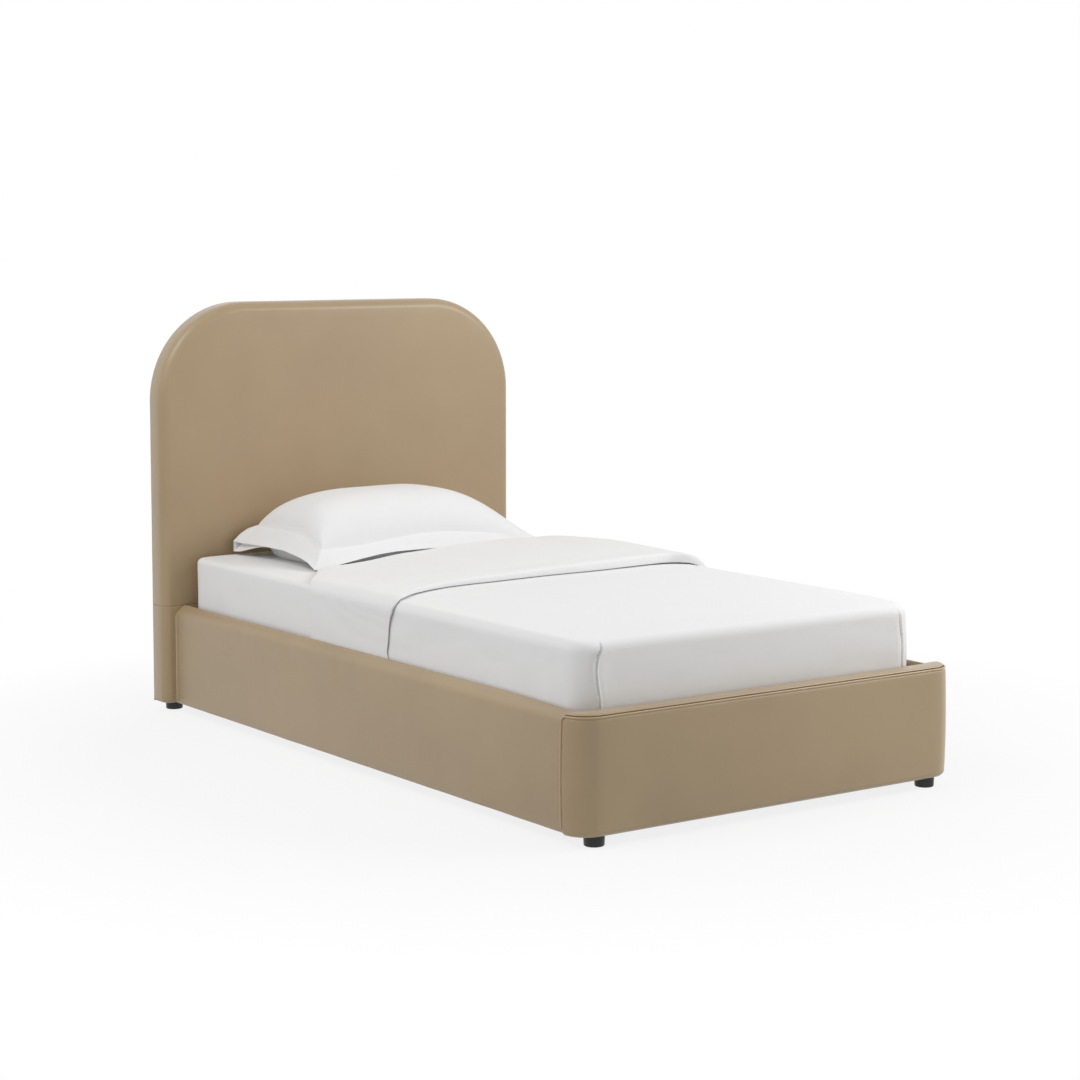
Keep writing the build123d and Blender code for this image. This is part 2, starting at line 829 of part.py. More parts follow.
# Corner brackets: pressed steel angles inside the four lower corners
bracket_ends = {
    "foot": (footboard_inner_y, 1),
    "head": (headboard_face_y, -1),
}
brackets = []
for end, (end_y, inwards) in bracket_ends.items():
    for sign in sides.values():
        with BuildPart() as bracket:
            with BuildSketch(Plane.XY.offset(bracket_bottom)):
                with BuildLine():
                    corner_x = sign * rail_board_inner_x
                    inner_x = sign * (rail_board_inner_x - bracket_thickness)
                    leg_x = sign * (rail_board_inner_x - bracket_leg)
                    inner_y = end_y + inwards * bracket_thickness
                    leg_y = end_y + inwards * bracket_leg
                    Polyline(
                        (corner_x, end_y),
                        (corner_x, leg_y),
                        (inner_x, leg_y),
                        (inner_x, inner_y),
                        (leg_x, inner_y),
                        (leg_x, end_y),
                        close=True,
                    )
                make_face()
            extrude(amount=bracket_height)
            bend_middle = (inner_x, inner_y, bracket_middle_z)
            upright_edges = bracket.edges().filter_by(Axis.Z)
            fillet(upright_edges.sort_by_distance(bend_middle)[0], radius=bracket_bend_radius)
            end_places = [(bracket_holes_y[end], height) for height in bracket_hole_heights]
            add(
                holes_into_rail(
                    sign,
                    end_places,
                    bracket_face_x - overrun / 2,
                    rail_board_inner_x + overrun,
                    bolt_hole_diameter,
                ),
                mode=Mode.SUBTRACT,
            )
            add(
                bolt_holes_into_ends(
                    end_y - bracket_hole_inset / 2,
                    end_y + bracket_hole_inset / 2,
                    bolt_hole_diameter,
                ),
                mode=Mode.SUBTRACT,
            )
        brackets.append(bracket.part)
keep(group(brackets), "corner_brackets")


# Bolts, inserts and screws, each kind in one group
bolt_slack = 2.0


def pin_group(planes, head_diameter, head_height, shank_diameter, shank_length):
    """Headed pins: each plane lies under its pin's head and faces back towards the head."""
    with BuildPart() as pins:
        for plane in planes:
            with BuildSketch(plane):
                Circle(head_diameter / 2)
            extrude(amount=head_height)
            with BuildSketch(plane):
                Circle(shank_diameter / 2)
            extrude(amount=-shank_length)
    return pins.part


def facing(origin, direction):
    """A plane at a point, facing a direction."""
    return Plane(origin=origin, z_dir=direction)


rail_bolt_planes = []
for sign in sides.values():
    for y, z in rail_bolt_places:
        rail_bolt_planes.append(facing((sign * bracket_face_x, y, z), (-sign, 0, 0)))
rail_bolt_length = bracket_thickness + insert_length - bolt_slack
keep(
    pin_group(rail_bolt_planes, bolt_head_diameter, bolt_head_height, bolt_diameter, rail_bolt_length),
    "rail_bolts",
)

end_bolt_planes = {}
for end, (end_y, inwards) in bracket_ends.items():
    planes = []
    for sign in sides.values():
        for height in bracket_hole_heights:
            under_head = (sign * end_bolt_x, end_y + inwards * bracket_thickness, height)
            planes.append(facing(under_head, (0, inwards, 0)))
    end_bolt_planes[end] = planes
padding_depths = {
    "foot": footboard_inner_y - back_panel_front_y,
    "head": spacer_front_y - headboard_face_y,
}
for end, planes in end_bolt_planes.items():
    length = bracket_thickness + padding_depths[end] + insert_length - bolt_slack
    keep(
        pin_group(planes, bolt_head_diameter, bolt_head_height, bolt_diameter, length),
        end + "board_bolts",
    )


def insert_group(planes):
    """Threaded inserts: plain tubes that start at each plane and go in behind it."""
    with BuildPart() as inserts:
        for plane in planes:
            with BuildSketch(plane):
                Circle(insert_diameter / 2)
                Circle(bolt_diameter / 2 + fit_gap, mode=Mode.SUBTRACT)
            extrude(amount=-insert_length)
    return inserts.part


insert_planes = []
for sign in sides.values():
    for y, z in rail_bolt_places:
        insert_planes.append(facing((sign * rail_board_inner_x, y, z), (-sign, 0, 0)))
    for height in bracket_hole_heights:
        insert_planes.append(facing((sign * end_bolt_x, spacer_front_y, height), (0, -1, 0)))
        insert_planes.append(facing((sign * end_bolt_x, back_panel_front_y, height), (0, 1, 0)))
keep(insert_group(insert_planes), "bolt_inserts")

ledger_screw_planes = []
for sign in sides.values():
    for y, z in ledger_screw_places:
        ledger_screw_planes.append(facing((sign * ledger_inner_x, y, z), (-sign, 0, 0)))
keep(
    pin_group(
        ledger_screw_planes,
        screw_head_diameter,
        screw_head_height,
        screw_diameter,
        ledger_width + ledger_screw_reach,
    ),
    "ledger_screws",
)


# Base: centre rail in two steel hangers, with slats across and two adjustable legs below
centre_rail_top = slat_bottom
centre_rail_bottom = centre_rail_top - centre_rail_height
hanger_slack = 0.5
centre_rail_low_y = footboard_inner_y + hanger_thickness + fit_gap
centre_rail_high_y = headboard_face_y - hanger_thickness - fit_gap
leg_stud_diameter = 8.0
leg_stud_hole_radius = leg_stud_diameter / 2 + fit_gap
leg_stud_reach = 30.0
leg_places = [(0, rail_middle_y - leg_spacing / 2), (0, rail_middle_y + leg_spacing / 2)]
glide_diameter = 34.0
glide_height = 9.0
glide_round = 2.0
glide_travel = 8.0
glide_stud_length = 40.0
leg_bottom = glide_height + glide_travel + fit_gap


def leg_bores(bottom, top, radius):
    """Upright cylinders on the axes of both centre legs."""
    with BuildPart() as bores:
        with BuildSketch(Plane.XY.offset(bottom)):
            with Locations(*leg_places):
                Circle(radius)
        extrude(amount=top - bottom)
    return bores.part


with BuildPart() as centre_rail:
    add(
        timber(
            (-centre_rail_width / 2, centre_rail_low_y, centre_rail_bottom),
            (centre_rail_width / 2, centre_rail_high_y, centre_rail_top),
            timber_edge,
        )
    )
    add(
        leg_bores(
            centre_rail_bottom - overrun,
            centre_rail_bottom + leg_stud_reach + fit_gap,
            leg_stud_hole_radius,
        ),
        mode=Mode.SUBTRACT,
    )
keep(centre_rail.part, "centre_rail")

hanger_height = centre_rail_height + hanger_thickness
hangers = []
for end_y, inwards in bracket_ends.values():
    with BuildPart() as hanger:
        plate_low, plate_high = sorted((end_y, end_y + inwards * hanger_thickness))
        plate_middle_z = centre_rail_top - hanger_height / 2
        with Locations((0, (plate_low + plate_high) / 2, plate_middle_z)):
            Box(2 * hanger_half_width, hanger_thickness, hanger_height)
        cradle_half_width = centre_rail_width / 2 + hanger_slack + hanger_thickness
        cradle_middle_y = end_y + inwards * hanger_depth / 2
        with Locations((0, cradle_middle_y, plate_middle_z)):
            Box(2 * cradle_half_width, hanger_depth, hanger_height)
        room_middle_y = end_y + inwards * (hanger_thickness + overrun / 2)
        with Locations((0, room_middle_y, plate_middle_z + hanger_thickness)):
            Box(
                centre_rail_width + 2 * hanger_slack,
                overrun,
                hanger_height,
                mode=Mode.SUBTRACT,
            )
        add(
            hanger_screw_holes(end_y - hanger_depth / 2, end_y + hanger_depth / 2, screw_hole_diameter),
            mode=Mode.SUBTRACT,
        )
    hangers.append(hanger.part)
keep(group(hangers), "centre_rail_hangers")

hanger_screws = []
for end, (end_y, inwards) in bracket_ends.items():
    planes = []
    for sign in sides.values():
        under_head = (sign * hanger_screw_x, end_y + inwards * hanger_thickness, hanger_screw_z)
        planes.append(facing(under_head, (0, inwards, 0)))
    length = hanger_thickness + padding_depths[end] + insert_length
    hanger_screws.append(
        pin_group(planes, screw_head_diameter, screw_head_height, screw_diameter, length)
    )
keep(group(hanger_screws), "hanger_screws")

with BuildPart() as centre_legs:
    with BuildSketch(Plane.XY.offset(leg_bottom)):
        with Locations(*leg_places):
            Rectangle(leg_width, leg_width)
    extrude(amount=centre_rail_bottom - leg_bottom)
    fillet(centre_legs.edges().filter_by(Axis.Z), radius=timber_edge)
    add(
        leg_bores(leg_bottom - overrun, leg_bottom + glide_stud_length, leg_stud_hole_radius),
        mode=Mode.SUBTRACT,
    )
    stud_bore_bottom = centre_rail_bottom - leg_stud_reach - fit_gap
    add(
        leg_bores(stud_bore_bottom, centre_rail_bottom + overrun, leg_stud_hole_radius),
        mode=Mode.SUBTRACT,
    )
keep(centre_legs.part, "centre_legs")

with BuildPart() as leg_studs:
    add(
        leg_bores(
            centre_rail_bottom - leg_stud_reach,
            centre_rail_bottom + leg_stud_reach,
            leg_stud_diameter / 2,
        )
    )
keep(leg_studs.part, "leg_studs")

for end, place in zip(("foot", "head"), leg_places):
    with BuildPart() as glide:
        with BuildSketch(Plane.XY):
            with Locations(place):
                Circle(glide_diameter / 2)
        extrude(amount=glide_height)
        fillet(glide.edges().group_by(Axis.Z)[0], radius=glide_round)
        with BuildSketch(Plane.XY.offset(glide_height)):
            with Locations(place):
                Circle(leg_stud_diameter / 2)
        extrude(amount=glide_stud_length - glide_round)
    keep(glide.part, "levelling_foot_" + end)

slat_end_gap = 12.0
slat_side_gap = 3.0
slat_edge = 3.0
slat_low_y = footboard_inner_y + slat_end_gap + slat_width / 2
slat_high_y = headboard_face_y - slat_end_gap - slat_width / 2
slat_pitch = (slat_high_y - slat_low_y) / (slat_count - 1)
with BuildPart() as slats:
    with BuildSketch(Plane.XY.offset(slat_bottom)):
        for index in range(slat_count):
            with Locations((0, slat_low_y + index * slat_pitch)):
                Rectangle(2 * (rail_board_inner_x - slat_side_gap), slat_width)
    extrude(amount=slat_thickness)
    fillet(slats.edges().filter_by(Axis.X).group_by(Axis.Z)[-1], radius=slat_edge)
keep(slats.part, "slats")

webbing_width = 25.0
webbing_thickness = 1.0
webbing_x = rail_board_inner_x / 2
webbing_middle_y = (slat_low_y + slat_high_y) / 2
with BuildPart() as slat_webbing:
    with BuildSketch(Plane.XY.offset(slat_bottom - webbing_thickness)):
        with Locations((-webbing_x, webbing_middle_y), (webbing_x, webbing_middle_y)):
            Rectangle(webbing_width, slat_high_y - slat_low_y + slat_width)
    extrude(amount=webbing_thickness)
keep(slat_webbing.part, "slat_webbing")


# Feet
for name, place in foot_places.items():
    with BuildPart() as foot:
        with BuildSketch(Plane.XZ):
            with BuildLine():
                Polyline(
                    (0, 0),
                    (foot_base_diameter / 2, 0),
                    (foot_diameter / 2, foot_height),
                    (0, foot_height),
                    close=True,
                )
            make_face()
        revolve(axis=Axis.Z)
        fillet(foot.edges().filter_by(GeomType.CIRCLE).group_by(Axis.Z)[0], radius=foot_edge_radius)
        with BuildSketch(Plane.XY):
            Circle(foot_recess_diameter / 2)
        extrude(amount=foot_recess_depth, mode=Mode.SUBTRACT)
        with BuildSketch(Plane.XY):
            Circle(foot_screw_hole_diameter / 2)
        extrude(amount=foot_height, mode=Mode.SUBTRACT)
    placed_foot = Location((place[0], place[1], 0)) * foot.part
    keep(placed_foot, "foot_" + name)

foot_screw_planes = [facing((x, y, foot_recess_depth), (0, 0, -1)) for x, y in foot_places.values()]
keep(
    pin_group(
        foot_screw_planes,
        foot_screw_head_diameter,
        foot_screw_head_height,
        foot_screw_diameter,
        foot_screw_top - foot_recess_depth,
    ),
    "foot_screws",
)


# Mattress and fitted sheet
mattress_low_y = footboard_inner_y + mattress_foot_gap
mattress_high_y = mattress_low_y + mattress_length
mattress_middle_y = (mattress_low_y + mattress_high_y) / 2
sheet_bottom = slat_top + cloth_gap
mattress_bottom = sheet_bottom + sheet_thickness + fit_gap
mattress_top = mattress_bottom + mattress_thickness
sheet_hem = 110.0


def mattress_block(bottom, top, swell):
    """The mattress form, swollen outwards at its sides, between two levels."""
    with BuildPart() as block:
        with BuildSketch(Plane.XY.offset(bottom)):
            with Locations((0, mattress_middle_y)):
                RectangleRounded(
                    mattress_width + 2 * swell,
                    mattress_length + 2 * swell,
                    mattress_corner_radius + swell,
                )
        extrude(amount=top - bottom)
        top_edges = block.edges().group_by(Axis.Z)[-1]
        low_edges = block.edges().group_by(Axis.Z)[0]
        fillet(top_edges + low_edges, radius=mattress_edge_radius + swell)
    return block.part


keep(mattress_block(mattress_bottom, mattress_top, 0), "mattress")

sheet_top = mattress_top + fit_gap + sheet_thickness
with BuildPart() as fitted_sheet:
    add(mattress_block(sheet_bottom, sheet_top, fit_gap + sheet_thickness))
    add(mattress_block(mattress_bottom - fit_gap, mattress_top + fit_gap, fit_gap), mode=Mode.SUBTRACT)
    with BuildSketch(Plane.XY.offset(sheet_bottom)):
        with Locations((0, mattress_middle_y)):
            Rectangle(mattress_width - 2 * sheet_hem, mattress_length - 2 * sheet_hem)
    extrude(amount=mattress_edge_radius, mode=Mode.SUBTRACT)
keep(fitted_sheet.part, "fitted_sheet")


# Duvet: laid over the mattress, its sides and foot tucked down inside the rails, its head folded back
duvet_swell = sheet_thickness + fit_gap + cloth_gap
duvet_bottom = sheet_top + cloth_gap
duvet_top = duvet_bottom + duvet_thickness
duvet_hem_z = slat_top + mattress_edge_radius
duvet_to_pillow = 6.0
fold_width = 503.0
fold_side_lag = 110.0
fold_head_lag = 218.0
fold_corner_width = 160.0
fold_edge_radius = 5.0
pillow_front_y = headboard_face_y - pillow_to_headboard - pillow_depth - 2 * pillow_flange
pillow_middle_y = pillow_front_y + pillow_flange + pillow_depth / 2
duvet_head_y = pillow_front_y - duvet_to_pillow
fold_low_y = duvet_head_y - fold_width
duvet_edge_x = mattress_width / 2 + duvet_swell + 2 * duvet_side_thickness


def duvet_block(top, swell):
    """The made bed's form from the hem up, swollen at its sides and foot and rounded on top."""
    with BuildPart() as block:
        with BuildSketch(Plane.XY.offset(duvet_hem_z)):
            with Locations((0, mattress_middle_y)):
                RectangleRounded(
                    mattress_width + 2 * swell,
                    mattress_length + 2 * swell,
                    mattress_corner_radius + swell,
                )
        extrude(amount=top - duvet_hem_z)
        fillet(block.edges().group_by(Axis.Z)[-1], radius=mattress_edge_radius + swell)
    return block.part


with BuildPart() as duvet_plan:
    with BuildSketch(Plane.XY.offset(duvet_hem_z)):
        with BuildLine():
            Polyline(
                (-duvet_edge_x, mattress_low_y - overrun),
                (duvet_edge_x, mattress_low_y - overrun),
                (duvet_edge_x, duvet_head_y - fold_head_lag),
                (duvet_edge_x - fold_corner_width, duvet_head_y),
                (-duvet_edge_x + fold_corner_width, duvet_head_y),
                (-duvet_edge_x, duvet_head_y - fold_head_lag),
                close=True,
            )
        make_face()
    extrude(amount=mattress_thickness + overrun)

with BuildPart() as duvet_fold:
    add(duvet_block(duvet_top + fold_thickness, duvet_swell + 2 * duvet_side_thickness))
    with BuildSketch(Plane.XY.offset(duvet_hem_z)) as fold_plan:
        with BuildLine():
            middle_arc = ThreePointArc(
                (-duvet_edge_x + fold_corner_width, fold_low_y),
                (0, fold_low_y + fold_side_lag / 4),
                (duvet_edge_x - fold_corner_width, fold_low_y),
            )
            Polyline(
                middle_arc @ 1,
                (duvet_edge_x + overrun, fold_low_y - fold_side_lag),
                (duvet_edge_x + overrun, duvet_head_y),
                (-duvet_edge_x - overrun, duvet_head_y),
                (-duvet_edge_x - overrun, fold_low_y - fold_side_lag),
                middle_arc @ 0,
            )
        make_face()
    extrude(amount=mattress_thickness + overrun, mode=Mode.INTERSECT)
    add(duvet_plan.part, mode=Mode.INTERSECT)
    fold_top = duvet_fold.faces().filter_by(Axis.Z).sort_by(Axis.Z)[-1]
    fold_ends = fold_top.edges().sort_by(Axis.Y)
    fillet([fold_ends[0], fold_ends[-1]], radius=fold_edge_radius)

with BuildPart() as duvet:
    add(duvet_block(duvet_top, duvet_swell + duvet_side_thickness))
    add(duvet_plan.part, mode=Mode.INTERSECT)
    add(duvet_fold.part)
    add(duvet_block(duvet_bottom, duvet_swell), mode=Mode.SUBTRACT)
keep(duvet.part, "duvet")


# Pillow in its flanged case
pillow_bottom = sheet_top + cloth_gap
pillow_end_height = 8.0
case_thickness = 1.5
flange_thickness = 3.0
flange_draw_in = 13.0
flange_corner_radius = 6.0
station_shares = (-1, -0.94, -0.8, -0.55, -0.25, 0.25, 0.55, 0.8, 0.94, 1)
crown_power = 2.4
crown_root = 0.75


def pillow_section(share, inset):
    """The section across the pillow at a share of its half length: flat below, crowned above."""
    half_depth = pillow_depth / 2 - inset
    swell = (1 - abs(share) ** crown_power) ** crown_root
    height = pillow_end_height + (pillow_height - pillow_end_height) * swell - 2 * inset
    low = pillow_bottom + inset

    def on_crown(degrees):
        angle = radians(degrees)
        return (pillow_middle_y + half_depth * cos(angle), low + height * sin(angle))

    section_x = pillow_offset_x + share * (pillow_length / 2 - inset)
    with BuildSketch(Plane.YZ.offset(section_x)) as section:
        with BuildLine():
            Line(on_crown(180), on_crown(0))
            ThreePointArc(on_crown(0), on_crown(20), on_crown(40))
            ThreePointArc(on_crown(40), on_crown(90), on_crown(140))
            ThreePointArc(on_crown(140), on_crown(160), on_crown(180))
        make_face()
    return section.sketch


def pillow_form(inset):
    """The plump pillow, lofted along its length."""
    with BuildPart() as form:
        loft([pillow_section(share, inset) for share in station_shares])
    return form.part


pillow_slack = 1.5
keep(pillow_form(case_thickness + pillow_slack), "pillow")

with BuildPart() as pillow_case:
    with BuildSketch(Plane.XY.offset(pillow_bottom)) as flange_plan:
        with BuildLine():
            half_length = pillow_length / 2 + pillow_flange
            half_depth = pillow_depth / 2 + pillow_flange
            low_x, high_x = (pillow_offset_x - half_length, pillow_offset_x + half_length)
            low_y, high_y = (pillow_middle_y - half_depth, pillow_middle_y + half_depth)
            ThreePointArc((low_x, low_y), (pillow_offset_x, low_y + flange_draw_in), (high_x, low_y))
            ThreePointArc(
                (high_x, low_y),
                (high_x - flange_draw_in, pillow_middle_y),
                (high_x, high_y),
            )
            ThreePointArc((high_x, high_y), (pillow_offset_x, high_y - flange_draw_in), (low_x, high_y))
            ThreePointArc(
                (low_x, high_y),
                (low_x + flange_draw_in, pillow_middle_y),
                (low_x, low_y),
            )
        make_face()
        fillet(flange_plan.vertices(), radius=flange_corner_radius)
    extrude(amount=flange_thickness)
    add(pillow_form(0))
    add(pillow_form(case_thickness), mode=Mode.SUBTRACT)
keep(pillow_case.part, "pillow_case")
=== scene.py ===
"""Single bed with a padded frame, an arched headboard and made-up bedding."""
import math

import bmesh
import bpy
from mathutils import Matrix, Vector, noise


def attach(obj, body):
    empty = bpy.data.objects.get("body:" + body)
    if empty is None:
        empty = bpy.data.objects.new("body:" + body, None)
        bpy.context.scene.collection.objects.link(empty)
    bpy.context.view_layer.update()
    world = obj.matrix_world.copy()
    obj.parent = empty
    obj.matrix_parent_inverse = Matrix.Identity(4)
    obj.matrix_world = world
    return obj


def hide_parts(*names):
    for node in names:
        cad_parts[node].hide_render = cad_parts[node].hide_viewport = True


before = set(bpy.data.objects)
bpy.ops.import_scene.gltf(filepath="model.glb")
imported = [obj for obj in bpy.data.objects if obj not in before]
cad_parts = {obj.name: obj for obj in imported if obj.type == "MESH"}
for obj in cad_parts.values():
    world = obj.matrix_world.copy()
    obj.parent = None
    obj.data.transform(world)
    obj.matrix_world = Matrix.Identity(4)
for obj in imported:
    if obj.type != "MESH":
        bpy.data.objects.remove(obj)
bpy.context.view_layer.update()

MM = 0.001
SIDES = {"left": -1, "right": 1}

# Outer sizes of the frame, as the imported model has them
rail_bottom = 25 * MM
rail_top = 303 * MM
well_half_width = 539 * MM
rail_outer_x = 573 * MM
rail_crown_loft = 8 * MM
rail_crown_radius = 28 * MM
rail_crown_flatten = 4.5 * MM
rail_head_turn = 7 * MM
rail_foot_turn = 2.5 * MM
footboard_half_width = 592 * MM
footboard_depth = 70 * MM
footboard_bulge = 3 * MM
footboard_base_radius = 15.5 * MM
headboard_half_width = 608 * MM
headboard_top = 1185 * MM
headboard_face_y = 962 * MM
headboard_cover_back_y = 1037 * MM
headboard_seam_z = 309 * MM
headboard_corner_radius = 284 * MM
headboard_roll_radius = 28 * MM
headboard_base_radius = 9.5 * MM
headboard_seam_radius = 2.6 * MM
headboard_back_radius = 4 * MM
back_y = 1038 * MM
footboard_inner_y = -968 * MM

# Bedding
mattress_half_width = 530 * MM
mattress_foot_y = -958 * MM
mattress_head_y = 942 * MM
sheet_top = 450.4 * MM
duvet_top = 459.7 * MM


# ---------------------------------------------------------------- camera

camera_data = bpy.data.cameras.new("camera")
camera_data.sensor_width = 36
camera_data.lens = 81.557
camera_data.shift_y = -80 / 1080
camera = bpy.data.objects.new("camera", camera_data)
camera.location = (-3.78318, -5.37079, 1.38566)
camera.rotation_euler = (math.radians(90 - 5.2991), 0, math.radians(-35.4526))
bpy.context.collection.objects.link(camera)
bpy.context.scene.camera = camera
bpy.context.scene.view_settings.view_transform = "Standard"


# ---------------------------------------------------------------- hand tools

def deselect():
    bpy.ops.object.select_all(action="DESELECT")


def take(obj):
    """Make one object the only selected and active one."""
    deselect()
    obj.select_set(True)
    bpy.context.view_layer.objects.active = obj


def name_made(name):
    """Name the object that the last operator added."""
    obj = bpy.context.active_object
    obj.name = name
    obj.data.name = name
    return obj


def enter(obj):
    """Into edit mode with everything selected."""
    take(obj)
    bpy.ops.object.mode_set(mode="EDIT")
    bpy.ops.mesh.select_all(action="SELECT")


def leave():
    bpy.ops.object.mode_set(mode="OBJECT")


def pick(obj, kind, test):
    """Into edit mode, with the edges or faces selected whose middle and direction pass a test."""
    enter(obj)
    bpy.ops.mesh.select_mode(type=kind)
    bpy.ops.mesh.select_all(action="DESELECT")
    mesh = bmesh.from_edit_mesh(obj.data)
    if kind == "EDGE":
        for edge in mesh.edges:
            start, end = (v.co for v in edge.verts)
            edge.select_set(bool(test((start + end) / 2, (end - start).normalized())))
    else:
        for face in mesh.faces:
            face.select_set(bool(test(face.calc_center_median(), face.normal)))
    mesh.select_flush_mode()
    bmesh.update_edit_mesh(obj.data)


def block(name, low, high):
    """A closed block between two corners, ready to be shaped."""
    deselect()
    middle = [(a + b) / 2 for a, b in zip(low, high)]
    size = [b - a for a, b in zip(low, high)]
    bpy.ops.mesh.primitive_cube_add(size=1, location=middle, scale=size)
    obj = name_made(name)
    bpy.ops.object.transform_apply(location=True, rotation=True, scale=True)
    return obj


def round_edges(obj, test, radius, segments):
    pick(obj, "EDGE", test)
    bpy.ops.mesh.bevel(offset=radius, segments=segments, profile=0.5, affect="EDGES")
    leave()


def cut_away(obj, test):
    """Delete the faces whose middle and direction pass a test."""
    pick(obj, "FACE", test)
    bpy.ops.mesh.delete(type="FACE")
    leave()


def grid_cuts(obj, **places):
    """Cut the whole mesh by planes across x, y or z, which gives its flat faces points to move."""
    enter(obj)
    for axis, spots in places.items():
        normal = Vector([axis == name for name in "xyz"])
        for spot in spots:
            bpy.ops.mesh.select_all(action="SELECT")
            bpy.ops.mesh.bisect(plane_co=normal * spot, plane_no=normal)
    leave()


def join(main, others):
    """Join other pieces into the main one."""
    take(main)
    for other in others:
        other.select_set(True)
    bpy.ops.object.join()


def grid_of_points(name, columns, rows, placer):
    """A grid whose points are placed from their shares, 0 to 1 each way."""
    deselect()
    bpy.ops.mesh.primitive_grid_add(x_subdivisions=columns, y_subdivisions=rows, size=1)
    piece = name_made(name)
    for vert in piece.data.vertices:
        column, row = round((vert.co.x + 0.5) * columns), round((vert.co.y + 0.5) * rows)
        vert.co = placer(column / columns, row / rows)
    piece.data.update()
    return piece


def close_up(obj, fill=True):
    """Points that meet become one, and any open end is filled."""
    enter(obj)
    bpy.ops.mesh.remove_doubles(threshold=0.02 * MM)
    bpy.ops.mesh.dissolve_degenerate(threshold=0.01 * MM)
    if fill:
        bpy.ops.mesh.select_mode(type="EDGE")
        bpy.ops.mesh.select_all(action="DESELECT")
        bpy.ops.mesh.select_non_manifold()
        bpy.ops.mesh.fill()
    bpy.ops.mesh.select_all(action="SELECT")
    bpy.ops.mesh.normals_make_consistent(inside=False)
    leave()


def spaced(low, high, count):
    """Places that part a length into a count of equal steps, its ends left out."""
    step = (high - low) / count
    return [low + step * index for index in range(1, count)]


def near(a, b):
    return abs(a - b) < 0.5 * MM


def runs(part):
    """Whether a direction runs along an axis, by its part along it."""
    return abs(part) > 0.9


def crosses(part):
    """Whether a direction is square to an axis, by its part along it."""
    return abs(part) < 0.1


def move_points(obj, mover):
    for vert in obj.data.vertices:
        vert.co = mover(vert.co.copy(), vert.normal.copy())
    obj.data.update()


def apply_modifier(obj, kind, name, **settings):
    take(obj)
    modifier = obj.modifiers.new(name, kind)
    for key, value in settings.items():
        setattr(modifier, key, value)
    bpy.ops.object.modifier_apply(modifier=name)


def ease(value, low, high):
    """0 below low, 1 above high, and a smooth change between."""
    share = min(max((value - low) / (high - low), 0), 1)
    return share * share * (3 - 2 * share)


def hump(value, middle, spread):
    return math.exp(-(((value - middle) / spread) ** 2))


def read_off(table, value):
    """The value of a table of (place, value) pairs at a place between them."""
    if value <= table[0][0]:
        return table[0][1]
    for (low, first), (high, second) in zip(table, table[1:]):
        if value <= high:
            return first + (second - first) * (value - low) / (high - low)
    return table[-1][1]


def read_smooth(table, value, blur):
    """The same, with its corners rounded over a blur length."""
    return sum(read_off(table, value + share * blur) for share in (-0.5, -0.25, 0, 0.25, 0.5)) / 5


def soft_noise(point, size, seed=0):
    """Smooth noise from -1 to 1, with lumps of about a size."""
    return noise.noise(Vector(point) / size + Vector((seed * 7.3, seed * 3.1, seed * 5.7)))


# ---------------------------------------------------------------- shader writing

class Wire:
    """One shader socket, with sums written as Python."""

    def __init__(self, tree, socket):
        self.tree = tree
        self.socket = socket

    def __add__(self, other):
        return self.tree.add("ShaderNodeMath", {"operation": "ADD"}, self, other)

    def __mul__(self, other):
        return self.tree.add("ShaderNodeMath", {"operation": "MULTIPLY"}, self, other)

    __radd__ = __add__
    __rmul__ = __mul__


threads_per_scale = 6.3


class Tree:
    """A node tree under construction, of a material or of the world."""

    def __init__(self, owner):
        owner.use_nodes = True
        self.nodes = owner.node_tree.nodes
        self.links = owner.node_tree.links

    def add(self, kind, settings, *values, out=0, **named):
        """A node of a kind, its settings first, then the values or wires of its sockets."""
        node = self.nodes.new(kind)
        for key, value in settings.items():
            setattr(node, key, value)
        for key, value in enumerate(values):
            self.put(node.inputs[key], value)
        for key, value in named.items():
            self.put(node.inputs[key.replace("_", " ")], value)
        return Wire(self, node.outputs[out])

    def put(self, socket, value):
        if isinstance(value, Wire):
            self.links.new(value.socket, socket)
        elif value is not None:
            socket.default_value = value

    def ramp(self, value, low, high, out_low=0.0, out_high=1.0):
        return self.add("ShaderNodeMapRange", {"clamp": True}, value, low, high, out_low, out_high)

    def rays(self):
        """Wires that are 1 for a ray from the camera, off a gloss and through a clear thing."""
        kinds = ("Is Camera Ray", "Is Glossy Ray", "Is Transmission Ray")
        return [self.add("ShaderNodeLightPath", {}, out=kind) for kind in kinds]


class Finish(Tree):
    """A material under construction."""

    def __init__(self, name, roughness, **fixed):
        self.material = bpy.data.materials.new(name)
        super().__init__(self.material)
        self.shader = self.nodes["Principled BSDF"]
        self.give(Roughness=roughness, **fixed)

    def place(self, scale=(1, 1, 1)):
        coordinates = self.add("ShaderNodeTexCoord", {}, out="Object")
        return self.add("ShaderNodeMapping", {}, coordinates, Scale=scale)

    def noise(self, place, scale, detail, roughness):
        return self.add(
            "ShaderNodeTexNoise", {}, Vector=place, Scale=scale, Detail=detail, Roughness=roughness,
        )

    def wave(self, place, direction, threads, **more):
        return self.add(
            "ShaderNodeTexWave", {"wave_type": "BANDS", "bands_direction": direction},
            Vector=place, Scale=threads / threads_per_scale, **more,
        )

    def mix(self, share, low, high):
        """Two colours mixed, past the five sockets that mix other things."""
        settings = {"data_type": "RGBA"}
        return self.add("ShaderNodeMix", settings, share, *[None] * 5, low, high, out=2)

    def shades(self, share, color, tone):
        """A colour mixed with a darker tone of its own."""
        return self.mix(share, linear(color, tone), linear(color))

    def bump(self, height, distance, strength):
        return self.add("ShaderNodeBump", {}, Height=height, Distance=distance, Strength=strength)

    def give(self, **wires):
        for key, value in wires.items():
            self.put(self.shader.inputs[key.replace("_", " ")], value)
        return self.material


